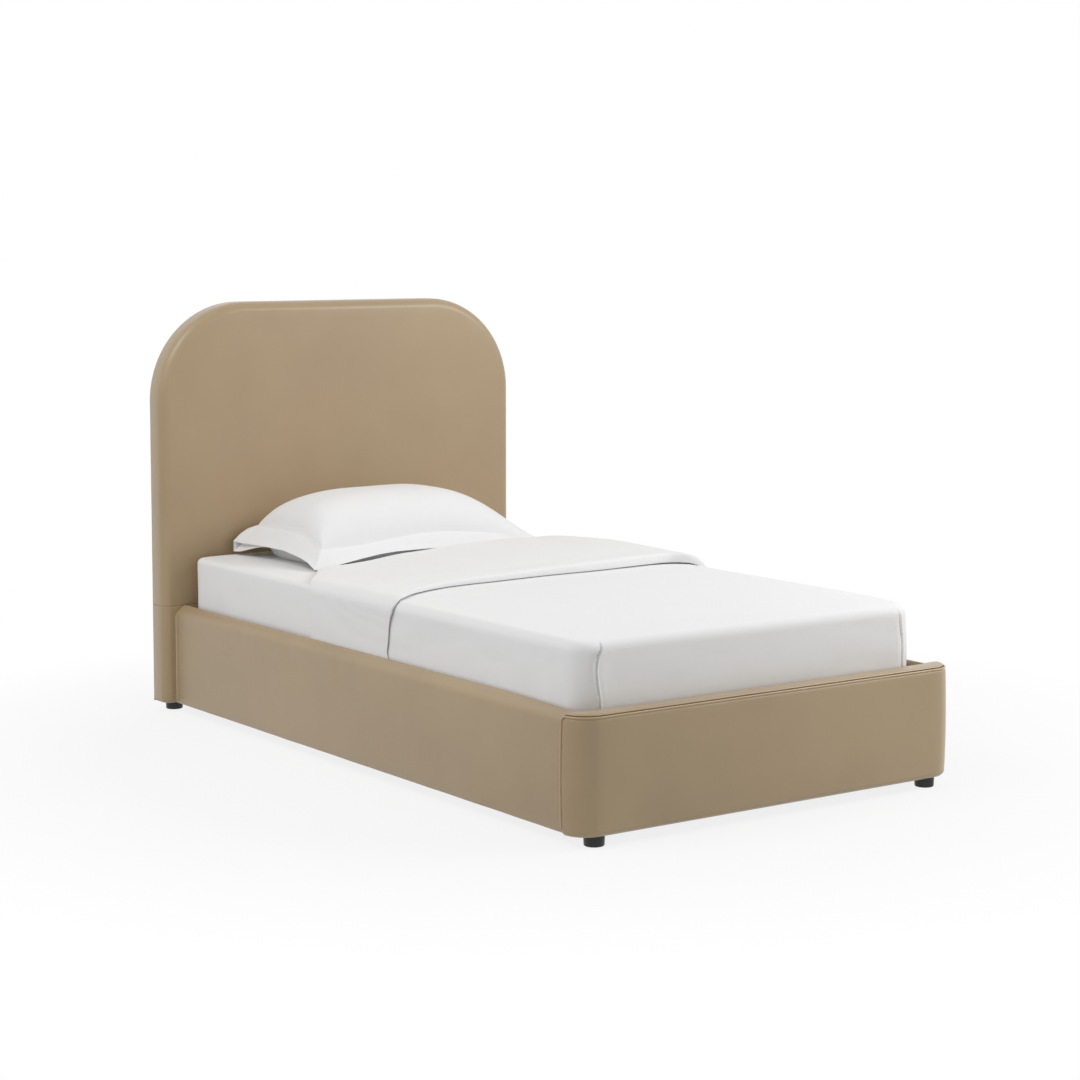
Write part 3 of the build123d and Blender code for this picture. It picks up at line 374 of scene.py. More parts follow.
def linear(color, tone=1.0):
    """A colour of 0 to 255 screen values, as the shader wants it, made darker or lighter."""
    def one(value):
        share = value / 255
        return share / 12.92 if share <= 0.04045 else ((share + 0.055) / 1.055) ** 2.4
    return tuple(one(value) * tone for value in color) + (1,)


def leatherette(name, tone=1.0):
    """Smooth camel leatherette: soft clouds of colour, a fine pebble grain and a dull sheen."""
    finish = Finish(
        name, 0.5, Specular_IOR_Level=0.5, Coat_Weight=0.5, Coat_Roughness=0.32,
        Sheen_Weight=0.2, Sheen_Roughness=0.4,
    )
    place = finish.place()
    clouds = finish.noise(place, 2.6, 3.0, 0.55)
    warmth = finish.noise(place, 1.7, 2.0, 0.5)
    dark = linear((159, 136, 102), tone)
    light = linear((168, 146, 111), tone)
    warm = linear((171, 144, 113), tone)
    color = finish.mix(finish.ramp(clouds, 0.35, 0.65), dark, light)
    color = finish.mix(finish.ramp(warmth, 0.4, 0.75, 0.0, 0.5), color, warm)
    pebbles = finish.add(
        "ShaderNodeTexVoronoi", {"feature": "SMOOTH_F1"}, Vector=place, Scale=900.0, Smoothness=0.6
    )
    pores = finish.noise(place, 1500.0, 2.0, 0.6)
    creases = finish.noise(place, 260.0, 4.0, 0.6)
    grain = pebbles * 0.6 + pores * 0.25 + creases * 0.3
    color = finish.mix(finish.ramp(grain, 0.25, 0.6, 0.12, 0.0), color, dark)
    return finish.give(
        Base_Color=color,
        Roughness=finish.ramp(clouds + pores * 0.2, 0.4, 0.8, 0.44, 0.56),
        Normal=finish.bump(grain, 0.0004, 0.35),
    )


def cotton(name, shade=(237, 237, 237)):
    """Plain-woven white cotton, smooth and matt, with the faintest slub."""
    finish = Finish(name, 0.75, Specular_IOR_Level=0.25)
    threads = 1600.0
    place = finish.place()
    across, along = (finish.wave(place, axis, threads, Distortion=0.6, Detail=1.0) for axis in "XY")
    slub = finish.noise(finish.place((60, 900, 900)), 1.0, 2.0, 0.5)
    soft = finish.noise(place, 9.0, 3.0, 0.5)
    weave = across * 0.5 + along * 0.5
    share = finish.ramp(weave * 0.5 + slub * 0.3 + soft * 0.3, 0.3, 0.7)
    return finish.give(
        Base_Color=finish.shades(share, shade, 0.955),
        Roughness=finish.ramp(soft, 0.3, 0.7, 0.7, 0.82),
        Normal=finish.bump(weave * 0.6 + slub * 0.4, 0.0003, 0.3),
    )


def timber(name, pale, dark, direction):
    """Planed softwood with its growth rings drawn out along one direction."""
    finish = Finish(name, 0.55, Specular_IOR_Level=0.35)
    stretch = [26.0, 26.0, 26.0]
    stretch["XYZ".index(direction)] = 1.6
    place = finish.place(tuple(stretch))
    rings = finish.noise(place, 1.0, 3.0, 0.6)
    fibres = finish.noise(finish.place(tuple(s * 22 for s in stretch)), 1.0, 2.0, 0.6)
    bands = finish.add("ShaderNodeMath", {"operation": "FRACT"}, rings * 9.0)
    late = finish.ramp(bands, 0.55, 0.98) * finish.ramp(bands, 1.0, 0.97)
    share = late * 0.7 + finish.ramp(fibres, 0.4, 0.7) * 0.25
    color = finish.mix(share, linear(pale), linear(dark))
    return finish.give(
        Base_Color=color,
        Roughness=finish.ramp(fibres, 0.3, 0.7, 0.48, 0.66),
        Normal=finish.bump(late * 0.4 + fibres * 0.6, 0.0003, 0.35),
    )


def metal(name, color, roughness, metallic=1.0):
    """Plated or coated steel with a faint rolled grain."""
    finish = Finish(name, roughness, Metallic=metallic)
    place = finish.place()
    brushed = finish.noise(finish.place((40, 900, 900)), 1.0, 2.0, 0.5)
    spots = finish.noise(place, 160.0, 3.0, 0.6)
    wear = spots * 0.6 + brushed * 0.4
    return finish.give(
        Base_Color=finish.shades(finish.ramp(spots, 0.35, 0.7), color, 0.8),
        Roughness=finish.ramp(wear, 0.3, 0.7, roughness - 0.08, roughness + 0.1),
        Normal=finish.bump(brushed * 0.5 + spots * 0.5, 0.0002, 0.25),
    )


def moulded_plastic(name, color, roughness):
    """Black moulded plastic with a fine spark-eroded texture."""
    finish = Finish(name, roughness, Specular_IOR_Level=0.45)
    place = finish.place()
    texture = finish.noise(place, 1800.0, 2.0, 0.6)
    scuffs = finish.noise(place, 60.0, 4.0, 0.6)
    base = linear(color)
    pale = tuple(min(c * 2.2 + 0.004, 1) for c in base[:3]) + (1,)
    return finish.give(
        Base_Color=finish.mix(finish.ramp(scuffs, 0.5, 0.8, 0.0, 0.5), base, pale),
        Roughness=finish.ramp(scuffs, 0.3, 0.7, roughness - 0.06, roughness + 0.12),
        Normal=finish.bump(texture, 0.0002, 0.3),
    )


def foam(name, color):
    """Open-cell foam."""
    finish = Finish(name, 0.95, Specular_IOR_Level=0.1)
    place = finish.place()
    cells = finish.add("ShaderNodeTexVoronoi", {}, Vector=place, Scale=700.0)
    return finish.give(
        Base_Color=finish.shades(finish.ramp(cells, 0.1, 0.7), color, 0.75),
        Normal=finish.bump(cells, 0.0006, 0.6),
    )


def woven(name, color, threads, roughness=0.9):
    """Coarse woven or bonded cloth, such as webbing, ticking and the dust cloth."""
    finish = Finish(name, roughness, Specular_IOR_Level=0.15)
    place = finish.place()
    across, along, upright = (finish.wave(place, axis, threads, Distortion=1.0) for axis in "XYZ")
    fluff = finish.noise(place, 240.0, 4.0, 0.6)
    weave = across * 0.34 + along * 0.33 + upright * 0.33
    share = finish.ramp(weave * 0.5 + fluff * 0.5, 0.3, 0.7)
    return finish.give(
        Base_Color=finish.shades(share, color, 0.7),
        Normal=finish.bump(weave * 0.7 + fluff * 0.3, 0.0005, 0.5),
    )


camel = leatherette("camel leatherette")
# The piping's leatherette is a lighter copy of the camel one (tone 1.25): a painted highlight for
# the pale rim where light catches the welt
welt_painted_highlight_leatherette = leatherette("camel welt with painted highlight", 1.25)
bed_cotton = cotton("bed cotton")
ticking = woven("mattress ticking", (222, 222, 218), 900.0)
pillow_ticking = cotton("pillow ticking", (226, 226, 222))
pine_x, pine_y, pine_z = (
    timber("pine " + way, (222, 190, 146), (186, 140, 92), axis)
    for way, axis in (("across", "X"), ("along", "Y"), ("upright", "Z"))
)
birch = timber("birch slats", (230, 204, 164), (204, 168, 122), "X")
ply = timber("plywood", (208, 174, 128), (178, 138, 94), "X")
black_steel = metal("black bracket steel", (34, 34, 36), 0.45, 0.0)
zinc = metal("zinc plate", (196, 196, 192), 0.34)
brass = metal("insert brass", (196, 160, 92), 0.35)
black_plastic = moulded_plastic("black foot plastic", (18, 18, 18), 0.42)
bare_foam = foam("bare foam", (224, 218, 190))
dust_cloth = woven("black dust cloth", (34, 34, 36), 500.0, 0.95)
black_tape = woven("black webbing", (40, 40, 42), 1400.0)


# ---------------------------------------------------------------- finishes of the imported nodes

node_finishes = {
    pine_x: (
        "footboard_batten_bottom", "footboard_batten_top", "headboard_batten_bottom",
        "headboard_batten_middle", "headboard_batten_seam", "headboard_batten_top",
    ),
    pine_y: ("centre_rail", "slat_ledger_left", "slat_ledger_right"),
    pine_z: (
        "centre_legs", "footboard_centre_post", "footboard_end_posts", "headboard_posts",
        "headboard_spacers",
    ),
    birch: ("slats",),
    ply: (
        "footboard_back_panel", "footboard_corner_formers", "footboard_front_panel",
        "headboard_arch_blocks", "headboard_panel_lower", "headboard_panel_upper",
        "rail_board_left", "rail_board_right",
    ),
    bare_foam: (
        "headboard_foam_lower", "headboard_foam_upper", "rail_foam_left", "rail_foam_right",
    ),
    black_steel: ("centre_rail_hangers", "corner_brackets"),
    zinc: (
        "foot_screws", "footboard_bolts", "hanger_screws", "headboard_bolts", "ledger_screws",
        "leg_studs", "rail_bolts",
    ),
    brass: ("bolt_inserts",),
    black_plastic: (
        "foot_front_left", "foot_front_right", "foot_rear_left", "foot_rear_right",
        "levelling_foot_foot", "levelling_foot_head",
    ),
    black_tape: ("slat_webbing",),
}
for finish, node_names in node_finishes.items():
    for node_name in node_names:
        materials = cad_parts[node_name].data.materials
        materials.clear()
        materials.append(finish)


def settle(obj, finish, body, nodes, degrees=40):
    """Give a finished piece its material, its body and the nodes that it stands for."""
    obj.data.materials.clear()
    obj.data.materials.append(finish)
    take(obj)
    bpy.ops.object.shade_smooth_by_angle(angle=math.radians(degrees))
    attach(obj, body)
    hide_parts(*nodes)


# ---------------------------------------------------------------- headboard

def headboard_half(name, low_z, high_z, arched):
    """One half of the headboard's padding, rolled over at its edges and drawn in at the seam."""
    half = headboard_half_width
    obj = block(name, (-half, headboard_face_y, low_z), (half, headboard_cover_back_y, high_z))
    if arched:
        round_edges(obj, lambda m, d: runs(d.y) and near(m.z, high_z), headboard_corner_radius, 28)
    seam_z = low_z if arched else high_z
    round_edges(
        obj,
        lambda m, d: near(m.y, headboard_face_y) and not (near(m.z, seam_z) or near(m.z, low_z)),
        headboard_roll_radius,
        9,
    )
    round_edges(
        obj,
        lambda m, d: near(m.y, headboard_cover_back_y) and not near(m.z, seam_z),
        headboard_back_radius,
        2,
    )

    def rim(z):
        """Tests for the level edges at a height, but for those at the back."""
        return lambda m, d: near(m.z, z) and m.y < headboard_cover_back_y - 6 * MM and crosses(d.z)

    if not arched:
        round_edges(obj, rim(low_z), headboard_base_radius, 4)
    round_edges(obj, rim(seam_z), headboard_seam_radius, 3)
    away = 1 if arched else -1
    beside_seam = [seam_z + away * 4 * MM, seam_z + away * 9 * MM]
    levels = spaced(low_z, high_z, 34 if arched else 10)
    grid_cuts(obj, x=spaced(-half, half, 46), z=levels + beside_seam)

    def puff(point, normal):
        """The padding swells a little between its edges and puckers slightly along the seam."""
        reach = half - abs(point.x)
        edge = ease(reach, 0, 160 * MM)
        from_seam = abs(point.z - seam_z)
        rise = ease(from_seam, 0, 60 * MM)
        crown = ease(high_z - point.z, 0, 160 * MM) if arched else 1
        outward = 2.2 * MM * edge * rise * crown
        outward += 0.5 * MM * soft_noise(point, 0.16, 1) * ease(reach, 0, 40 * MM)
        pucker = soft_noise((point.x, 0, point.z * 0.2), 0.022, 2)
        outward += 0.5 * MM * pucker * (1 - ease(from_seam, 0, 34 * MM))
        if normal.y < -0.3:
            point.y -= outward
        elif abs(normal.x) > 0.5:
            sign = math.copysign(1, point.x)
            wander = math.copysign(0.4 * MM * soft_noise(point, 0.12, 3), point.x)
            point.x += wander - sign * 0.4 * MM
        return point

    move_points(obj, puff)
    return obj


headboard_upper = headboard_half("headboard_padding_upper", headboard_seam_z, headboard_top, True)
headboard_lower = headboard_half("headboard_padding_lower", rail_bottom, headboard_seam_z, False)
for level, padding in (("upper", headboard_upper), ("lower", headboard_lower)):
    settle(padding, camel, "frame", ["headboard_cover_" + level])


# Dust cloth stapled over the back
cloth_margin = 8 * MM
cloth_half_width = headboard_half_width - cloth_margin
cloth_low = (-cloth_half_width, headboard_cover_back_y, rail_bottom + cloth_margin)
cloth_high = (cloth_half_width, back_y, headboard_top - cloth_margin)
cloth_corner = headboard_corner_radius - cloth_margin
back_cloth = block("headboard_dust_cloth", cloth_low, cloth_high)
round_edges(back_cloth, lambda m, d: runs(d.y) and near(m.z, cloth_high[2]), cloth_corner, 24)
grid_cuts(
    back_cloth,
    x=spaced(cloth_low[0], cloth_high[0], 60),
    z=spaced(cloth_low[2], cloth_high[2], 56),
)


def cloth_ripple(point, normal):
    """The cloth sinks slightly between its staples and over the open frame."""
    inner = min(cloth_high[0] - abs(point.x), point.z - cloth_low[2], cloth_high[2] - point.z)
    slack = ease(inner, 10 * MM, 120 * MM)
    wave = 0.5 + 0.5 * soft_noise(point, 0.14, 4)
    point.y -= 0.5 * MM * slack * wave
    return point


move_points(back_cloth, cloth_ripple)
settle(back_cloth, dust_cloth, "frame", ["headboard_back_cloth"])
cloth_width = cloth_high[0] - cloth_low[0]
cloth_height = cloth_high[2] - cloth_low[2]
cloth_width * cloth_height - (2 - math.pi / 2) * cloth_corner**2


# ---------------------------------------------------------------- footboard

footboard_corner_x = footboard_half_width - footboard_depth
footboard_edge = footboard_depth - footboard_bulge

# The footboard's top, from behind the welt back to the bed: (reach, height above the rail), mm
footboard_top_profile = [
    (64.0, -4.4), (62.6, -5.3), (61.4, -6.0), (60.4, -5.6), (59.6, -3.6), (59.4, -1.6), (59.6, 0.2),
    (60.2, 1.4), (60.5, 2.4), (60.0, 3.5), (58.6, 4.5), (55.5, 5.4), (51.0, 5.9), (45.0, 6.0),
    (38.0, 6.0), (30.0, 5.9), (22.0, 5.6), (15.0, 5.1), (10.0, 4.4), (6.5, 3.4), (4.0, 2.2),
    (2.2, 0.8), (1.0, -1.0), (0.3, -3.0), (0.0, -6.0),
]
footboard_end_turn = 3 * MM
welt_turn = 10 * MM
footboard_roll_height = 14 * MM
welt_drop = 2.5 * MM
footboard_roll_depth = 4.2 * MM


def footboard_section():
    """Points round the footboard's section, as reach from the bed side and height."""
    radius = footboard_base_radius
    points = [(share * (footboard_edge - radius), rail_bottom) for share in (0, 0.2, 0.4, 0.6, 0.8)]
    for step in range(9):
        angle = math.radians(90 * step / 8)
        points.append((
            footboard_edge - radius + radius * math.sin(angle),
            rail_bottom + radius - radius * math.cos(angle),
        ))
    for height in spaced(rail_bottom + radius, rail_top - 16 * MM, 15)[1:]:
        points.append((footboard_edge, height))
    for drop in (14, 12, 10.3, 9, 7.9, 7, 6.1, 5.2):
        points.append((footboard_edge, rail_top - drop * MM))
    points += [(reach * MM, rail_top + rise * MM) for reach, rise in footboard_top_profile]
    points += [(0, height) for height in spaced(rail_top - 30 * MM, rail_bottom, 6)]
    return points + [(0, rail_bottom)]


def circle_fall(radius, left):
    """How far a rounded edge falls back, by the distance left to its end."""
    return radius - math.sqrt(radius**2 - (radius - left) ** 2)


def footboard_roll(below):
    """How far the face rolls in towards the piping, by the distance below the top edge."""
    share = 1 - min(max((below - welt_drop) / footboard_roll_height, 0), 1)
    return footboard_roll_depth * (1 - math.sqrt(1 - share**2))


def footboard_padding():
    """The footboard's padding, its section swept along the front and round both corners."""
    section = footboard_section()
    end_angles = [90, 89.7, 89.3, 88.8, 88.2, 87.4] + spaced(86, 4, 21)
    stations = [(-footboard_corner_x, -angle) for angle in end_angles]
    stations += [(x, 0) for x in spaced(-footboard_corner_x, footboard_corner_x, 80)]
    stations += [(footboard_corner_x, angle) for angle in reversed(end_angles)]
    middle_z = (rail_bottom + rail_top) / 2
    half_height = (rail_top - rail_bottom) / 2

    def place(a, b):
        centre_x, angle = stations[round(a * (len(stations) - 1))]
        reach, height = section[round(b * (len(section) - 1))]
        turn = math.radians(angle)
        along = centre_x + footboard_edge * turn
        share = min(reach / footboard_edge, 1)
        outside = 1 if reach > footboard_edge - 0.1 * MM else 0
        below = rail_top - height
        level = max(1 - ((height - middle_z) / half_height) ** 2, 0)
        lump = 0.5 * MM * soft_noise((along, 0, height), 0.16, 5)
        pucker = 0.4 * MM * soft_noise((along, 0, 0), 0.018, 6)
        out = footboard_bulge * level * share + lump * share * min(level * 4, 1)
        out -= 0.5 * MM * outside + 0.7 * MM * hump(below, 5.7 * MM, 1.8 * MM) * outside
        out -= footboard_roll(below) * outside
        out += pucker * hump(below, 9 * MM, 6 * MM) * outside
        if below < 0:
            ripple = 0.5 * MM * soft_noise((along, reach, 0), 0.03, 7)
            height += ripple * hump(reach, 57 * MM, 8 * MM)
        reach = max(reach + out, 0)
        x = centre_x + reach * math.sin(turn)
        y = footboard_inner_y - reach * math.cos(turn)
        # both ends are turned in a little where the rails meet them
        left = footboard_inner_y - y
        if abs(angle) > 45 and left < welt_turn and below < 30 * MM:
            height -= circle_fall(welt_turn, left)
        elif abs(angle) > 45 and left < footboard_end_turn:
            turned = circle_fall(footboard_end_turn, left)
            to_middle = middle_z - height
            x -= math.copysign(min(turned, reach), angle)
            height += math.copysign(turned, to_middle) * min(abs(to_middle) / (40 * MM), 1)
        return Vector((x, y, height))

    obj = grid_of_points("footboard_padding", len(stations) - 1, len(section) - 1, place)
    close_up(obj)
    return obj


footboard = footboard_padding()
settle(footboard, camel, "frame", ["footboard_cover", "footboard_foam"])


# One length of piping runs up each end of the footboard and along its top edge
welt_radius = 2.3 * MM
welt_reach = footboard_edge - 2.7 * MM
welt_height = rail_top + 0.3 * MM - welt_drop
welt_low = rail_bottom + 14 * MM


def welt_path():
    """Points along the piping, each with the direction straight out from the footboard."""
    end_x = footboard_corner_x
    points = []
    for height in spaced(welt_low, welt_height - welt_turn, 60):
        level = max(1 - ((height - rail_bottom) / (rail_top - rail_bottom) * 2 - 1) ** 2, 0)
        reach = footboard_edge + 0.2 * MM + footboard_bulge * level
        reach -= footboard_roll(rail_top - height)
        reach += 0.5 * MM * soft_noise((0, 0, height), 0.012, 61)
        points.append((reach, 0.3 * MM * soft_noise((1, 0, height), 0.016, 62), height))
    upright_reach = points[-1][0]
    for step in range(1, 7):
        angle = math.radians(15 * step)
        share = step / 6
        reach = upright_reach * (1 - share) + welt_reach * share
        points.append((
            reach,
            -welt_turn + welt_turn * math.cos(angle),
            welt_height - welt_turn + welt_turn * math.sin(angle),
        ))
    outward, forward = Vector((-1, 0, 0)), Vector((0, -1, 0))
    left = [(Vector((-end_x - r, footboard_inner_y + y, z)), outward) for r, y, z in points]
    for angle in spaced(79, 3, 22):
        out = Vector((-math.sin(math.radians(angle)), -math.cos(math.radians(angle)), 0))
        left.append((Vector((-end_x, footboard_inner_y, welt_height)) + out * welt_reach, out))
    for x in spaced(-end_x, 0, 60):
        wander = 0.25 * MM * soft_noise((x, 0, 0), 0.03, 63)
        spot = Vector((x, footboard_inner_y - welt_reach + wander, welt_height))
        left.append((spot, forward))
    mirror = lambda v: Vector((-v.x, v.y, v.z))
    return left + [(mirror(spot), mirror(out)) for spot, out in reversed(left[:-1])]


welt_points = welt_path()
welt_sides = 12


def welt_place(a, b):
    index = round(a * (len(welt_points) - 1))
    spot, out = welt_points[index]
    before = welt_points[max(index - 1, 0)][0]
    after = welt_points[min(index + 1, len(welt_points) - 1)][0]
    up = (after - before).normalized().cross(out)
    turn = 2 * math.pi * b
    return spot + (out * math.cos(turn) + up * math.sin(turn)) * welt_radius


welt = grid_of_points("footboard_welt", len(welt_points) - 1, welt_sides, welt_place)
close_up(welt)
# The welt wears the lighter leatherette, a painted highlight along the piping
settle(welt, welt_painted_highlight_leatherette, "frame", ["footboard_top_welt", "footboard_seam_welts"])


# ---------------------------------------------------------------- side rails

def rail_padding(side, sign):
    """A side rail's padding, with a soft crown along its top and an open lining inside."""
    low_x, high_x = sorted((sign * well_half_width, sign * rail_outer_x))
    low = (low_x, footboard_inner_y + 0.2 * MM, rail_bottom)
    high = (high_x, headboard_face_y - 0.2 * MM, rail_top)
    obj = block("rail_padding_" + side, low, high)
    inner_x = sign * well_half_width
    outer_x = sign * rail_outer_x
    lining_top = rail_top - 50 * MM
    small_turn = 4 * MM

    def long_edge(x, z):
        return lambda m, d: near(m.x, x) and near(m.z, z) and runs(d.y)

    def end_edge(y):
        return lambda m, d: near(m.y, y) and m.x * sign > well_half_width + 6 * MM and crosses(d.y)

    round_edges(obj, long_edge(outer_x, rail_top), rail_crown_radius, 14)
    round_edges(obj, long_edge(inner_x, rail_top), small_turn, 3)
    round_edges(obj, end_edge(high[1]), rail_head_turn, 4)
    round_edges(obj, end_edge(low[1]), rail_foot_turn, 3)
    round_edges(obj, long_edge(outer_x, rail_bottom), small_turn, 3)
    grid_cuts(
        obj,
        y=spaced(low[1] + 3 * MM, high[1] - 8 * MM, 150),
        z=spaced(rail_bottom + 4 * MM, rail_top - rail_crown_radius, 11) + [lining_top],
    )

    def puff(point, normal):
        along = min(point.y - low[1], high[1] - point.y)
        held = ease(along, 0, 30 * MM)
        loft = 0.35 + 0.65 * ease(point.y - low[1], 0, 0.35)
        outside = abs(point.x) > well_half_width + 5 * MM
        if outside:
            height = (point.z - rail_bottom) / (rail_top - rail_bottom)
            swell = 1.2 * MM * math.sin(math.pi * min(max(height, 0), 1))
            roll = 0.7 * MM * soft_noise((0, point.y, point.z * 0.4), 0.11, 8 + sign)
            crown = hump(point.z, rail_top - 24 * MM, 22 * MM)
            ripple = 0.8 * MM * soft_noise((0, point.y, point.z * 0.25), 0.034, 10 + sign) * crown
            share = min(max((point.z - rail_top + rail_crown_radius) / rail_crown_radius, 0), 1)
            flatten = rail_crown_flatten * loft * share * math.sin(2 * math.asin(share))
            flatten *= math.sqrt(0.5)
            point = point + normal * ((swell + roll + ripple) * held - 1.0 * MM)
            point.x -= sign * flatten
            point.z -= flatten
        point.z += rail_crown_loft * loft * ease(point.z, rail_top - 45 * MM, rail_top)
        return point

    move_points(obj, puff)
    cut_away(obj, lambda m, n: n.x * sign < -0.9 and m.z < lining_top)
    apply_modifier(obj, "SOLIDIFY", "wall", thickness=1.6 * MM, offset=-1)
    return obj


for side, sign in SIDES.items():
    rail = rail_padding(side, sign)
    settle(rail, camel, "frame", ["rail_cover_" + side])


# ---------------------------------------------------------------- mattress and fitted sheet

mattress_depth = 192 * MM
mattress_base = 256.9 * MM
mattress_edge_radius = 13 * MM
sheet_swell = 1.6 * MM
sheet_hem = 110 * MM


def mattress_form(name, swell, low_z, high_z, columns, rows):
    """A mattress-shaped block, swollen outwards, rounded at its corners and edges, and cut up."""
    low = (-mattress_half_width - swell, mattress_foot_y - swell, low_z)
    high = (mattress_half_width + swell, mattress_head_y + swell, high_z)
    obj = block(name, low, high)
    foot_right = lambda m: m.x > 0 and m.y < 0
    round_edges(obj, lambda m, d: runs(d.z) and not foot_right(m), 60 * MM + swell, 10)
    round_edges(obj, lambda m, d: runs(d.z) and foot_right(m), 92 * MM + swell, 12)
    top_radius = mattress_edge_radius + swell
    round_edges(obj, lambda m, d: near(m.z, high_z) and crosses(d.z), top_radius, 6)
    round_edges(obj, lambda m, d: near(m.z, low_z) and crosses(d.z), 20 * MM, 4)
    # closer cuts where the duvet's pleat presses in
    pleat_cuts = spaced(-0.515, -0.450, 8)
    grid_cuts(
        obj,
        x=spaced(-mattress_half_width, mattress_half_width, columns) + pleat_cuts,
        y=spaced(mattress_foot_y, mattress_head_y, rows),
        z=spaced(277 * MM, 429 * MM, 8),
    )
    return obj


mattress_top = mattress_base + mattress_depth
mattress = mattress_form("mattress_body", 0, mattress_base, mattress_top, 28, 50)
pleat_room_x = -0.484


def pleat_room(point):
    """How far the mattress and sheet give way behind the pleat in the duvet."""
    at_foot = 1 - ease(point.y - mattress_foot_y, 5 * MM, 60 * MM)
    below_top = 1 - ease(point.z, 0.425, 0.450)
    return Vector((0, 14 * MM * hump(point.x, pleat_room_x, 14 * MM) * at_foot * below_top, 0))


def quilting(point, normal):
    """Shallow diamonds stitched into the top and the bottom, and a flat border round the sides."""
    if abs(normal.z) > 0.8:
        pitch = 0.19
        first = math.cos(2 * math.pi * (point.x + point.y) / pitch)
        second = math.cos(2 * math.pi * (point.x - point.y) / pitch)
        point.z -= math.copysign(1.4 * MM * (0.5 + 0.25 * (first + second)), normal.z)
    else:
        point = point - normal * (0.6 * MM + 0.5 * MM * soft_noise(point, 0.2, 11))
    return point + pleat_room(point)


move_points(mattress, quilting)
settle(mattress, ticking, "mattress", ["mattress"])

sheet_base = mattress_base - sheet_swell
sheet = mattress_form("fitted_sheet_cloth", sheet_swell, sheet_base, sheet_top, 40, 72)
cut_away(
    sheet,
    lambda m, n: n.z < -0.9
    and abs(m.x) < mattress_half_width - sheet_hem
    and mattress_foot_y + sheet_hem < m.y < mattress_head_y - sheet_hem,
)


def sheet_creases(point, normal):
    """Soft pulls fanning down from the top corners, and a gathered hem below."""
    side = 1 - ease(normal.z, 0.1, 0.9)
    lump = 0.7 * MM * soft_noise((point.x, point.y, point.z * 2.0), 0.11, 12) * side
    pull = soft_noise((point.x * 6, point.y * 6, point.z), 0.2, 13)
    corner = hump(point.y, mattress_head_y, 0.16) * hump(abs(point.x), mattress_half_width, 0.16)
    lump += 0.8 * MM * pull * corner
    if normal.z < -0.5:
        lump = 0.3 * MM * (1 + soft_noise((point.x * 4, point.y * 4, 0), 0.09, 14))
        return point + Vector((0, 0, lump)) + pleat_room(point)
    return point + normal * (lump - 0.4 * MM * side) + pleat_room(point)


move_points(sheet, sheet_creases)
apply_modifier(sheet, "SOLIDIFY", "wall", thickness=0.8 * MM, offset=-1)
settle(sheet, bed_cotton, "mattress", ["fitted_sheet"], 50)
side_drop = mattress_depth + sheet_hem
sheet_flat = (
    2 * mattress_half_width + 2 * side_drop,
    mattress_head_y - mattress_foot_y + 2 * side_drop,
)
sheet_flat[0] * sheet_flat[1] - 4 * side_drop**2


# ---------------------------------------------------------------- duvet: the tucked layer

duvet_swell = 5.0 * MM
duvet_edge_radius = 27 * MM
duvet_hem_z = 277 * MM
duvet_head_y = 458 * MM
fold_side_y = 240 * MM
fold_corner_x = 386 * MM
duvet_side_x = mattress_half_width + duvet_swell
duvet_foot_y = mattress_foot_y - duvet_swell

# The pinched pleat at the foot's left corner, as (height, place across the bed)
crease_line = [
    (0.277, -0.480), (0.310, -0.478), (0.330, -0.481), (0.348, -0.485), (0.372, -0.4885),
    (0.395, -0.490), (0.412, -0.488), (0.429, -0.484), (0.445, -0.475), (0.459, -0.466),
]
# What stands up beside its slit, a lip and a ridge with softer swells: (rise, place, spread), mm
beside_slit = [(5.0, -3.4, 2.6), (3.0, -15, 13), (3.0, 5.0, 2.9), (1.5, 18, 14)]
right_pleat_x = 0.470


def left_pleat(point, normal):
    """How far the pinched pleat moves a point of the duvet."""
    if point.y > duvet_foot_y + 45 * MM or point.x > -0.40:
        return Vector()
    across = point.x - read_smooth(crease_line, point.z, 0.012)
    across += 0.9 * MM * soft_noise((0, 0, point.z), 0.011, 31)
    held = (1 - ease(point.z, 0.449, 0.4585)) * ease(-normal.y, 0.15, 0.7)
    free = 0.35 + 0.65 * ease(point.z, 0.300, 0.335)
    stand = sum(rise * hump(across, at * MM, spread * MM) for rise, at, spread in beside_slit)
    slit = 13.0 * hump(across, 0.8 * MM, 1.9 * MM)
    lean = 1.0 * hump(across, -2.6 * MM, 2.0 * MM)
    return Vector((lean * free, slit - stand * free, 0)) * MM * held


def right_pleat(point):
    """How far the shallow pleat at the other corner moves a point of the duvet."""
    if point.y > duvet_foot_y + 60 * MM or point.x < 0.40:
        return Vector()
    bend = 5 * MM * soft_noise((0, 0, point.z), 0.06, 32) + 9 * MM * ease(point.z, 0.36, 0.45)
    across = point.x - right_pleat_x + bend
    slit = 3.0 * MM * hump(across, 0, 2.4 * MM) - 2.0 * MM * hump(across, 7 * MM, 5 * MM)
    return Vector((0, slit * (1 - ease(point.z, 0.43, 0.455)), 0))


def drape(point, normal):
    """Soft lumps on top, slight drags down the sides, and a pleat at each foot corner."""
    top = ease(normal.z, 0.2, 0.9)
    lump = 1.1 * MM * soft_noise(point, 0.24, 21) + 0.4 * MM * soft_noise(point, 0.08, 22)
    from_side, from_foot = duvet_side_x - abs(point.x), point.y - duvet_foot_y
    crown = 2.0 * MM * ease(from_side, 0, 0.3) * ease(from_foot, 0, 0.3) * top
    drag = 0.8 * MM * soft_noise((point.x, point.y, point.z * 3.2), 0.15, 23) * (1 - top)
    moved = point + normal * (lump * 0.7 + drag) + Vector((0, 0, crown))
    moved += left_pleat(point, normal) + right_pleat(point)
    # the right foot corner slumps a little below the top
    corner = hump(point.x, duvet_side_x, 0.10) * hump(point.y, duvet_foot_y, 0.12)
    moved.x -= 7 * MM * corner * ease(point.z, 0.37, 0.46)
    moved.z -= 2.5 * MM * corner * top
    return moved


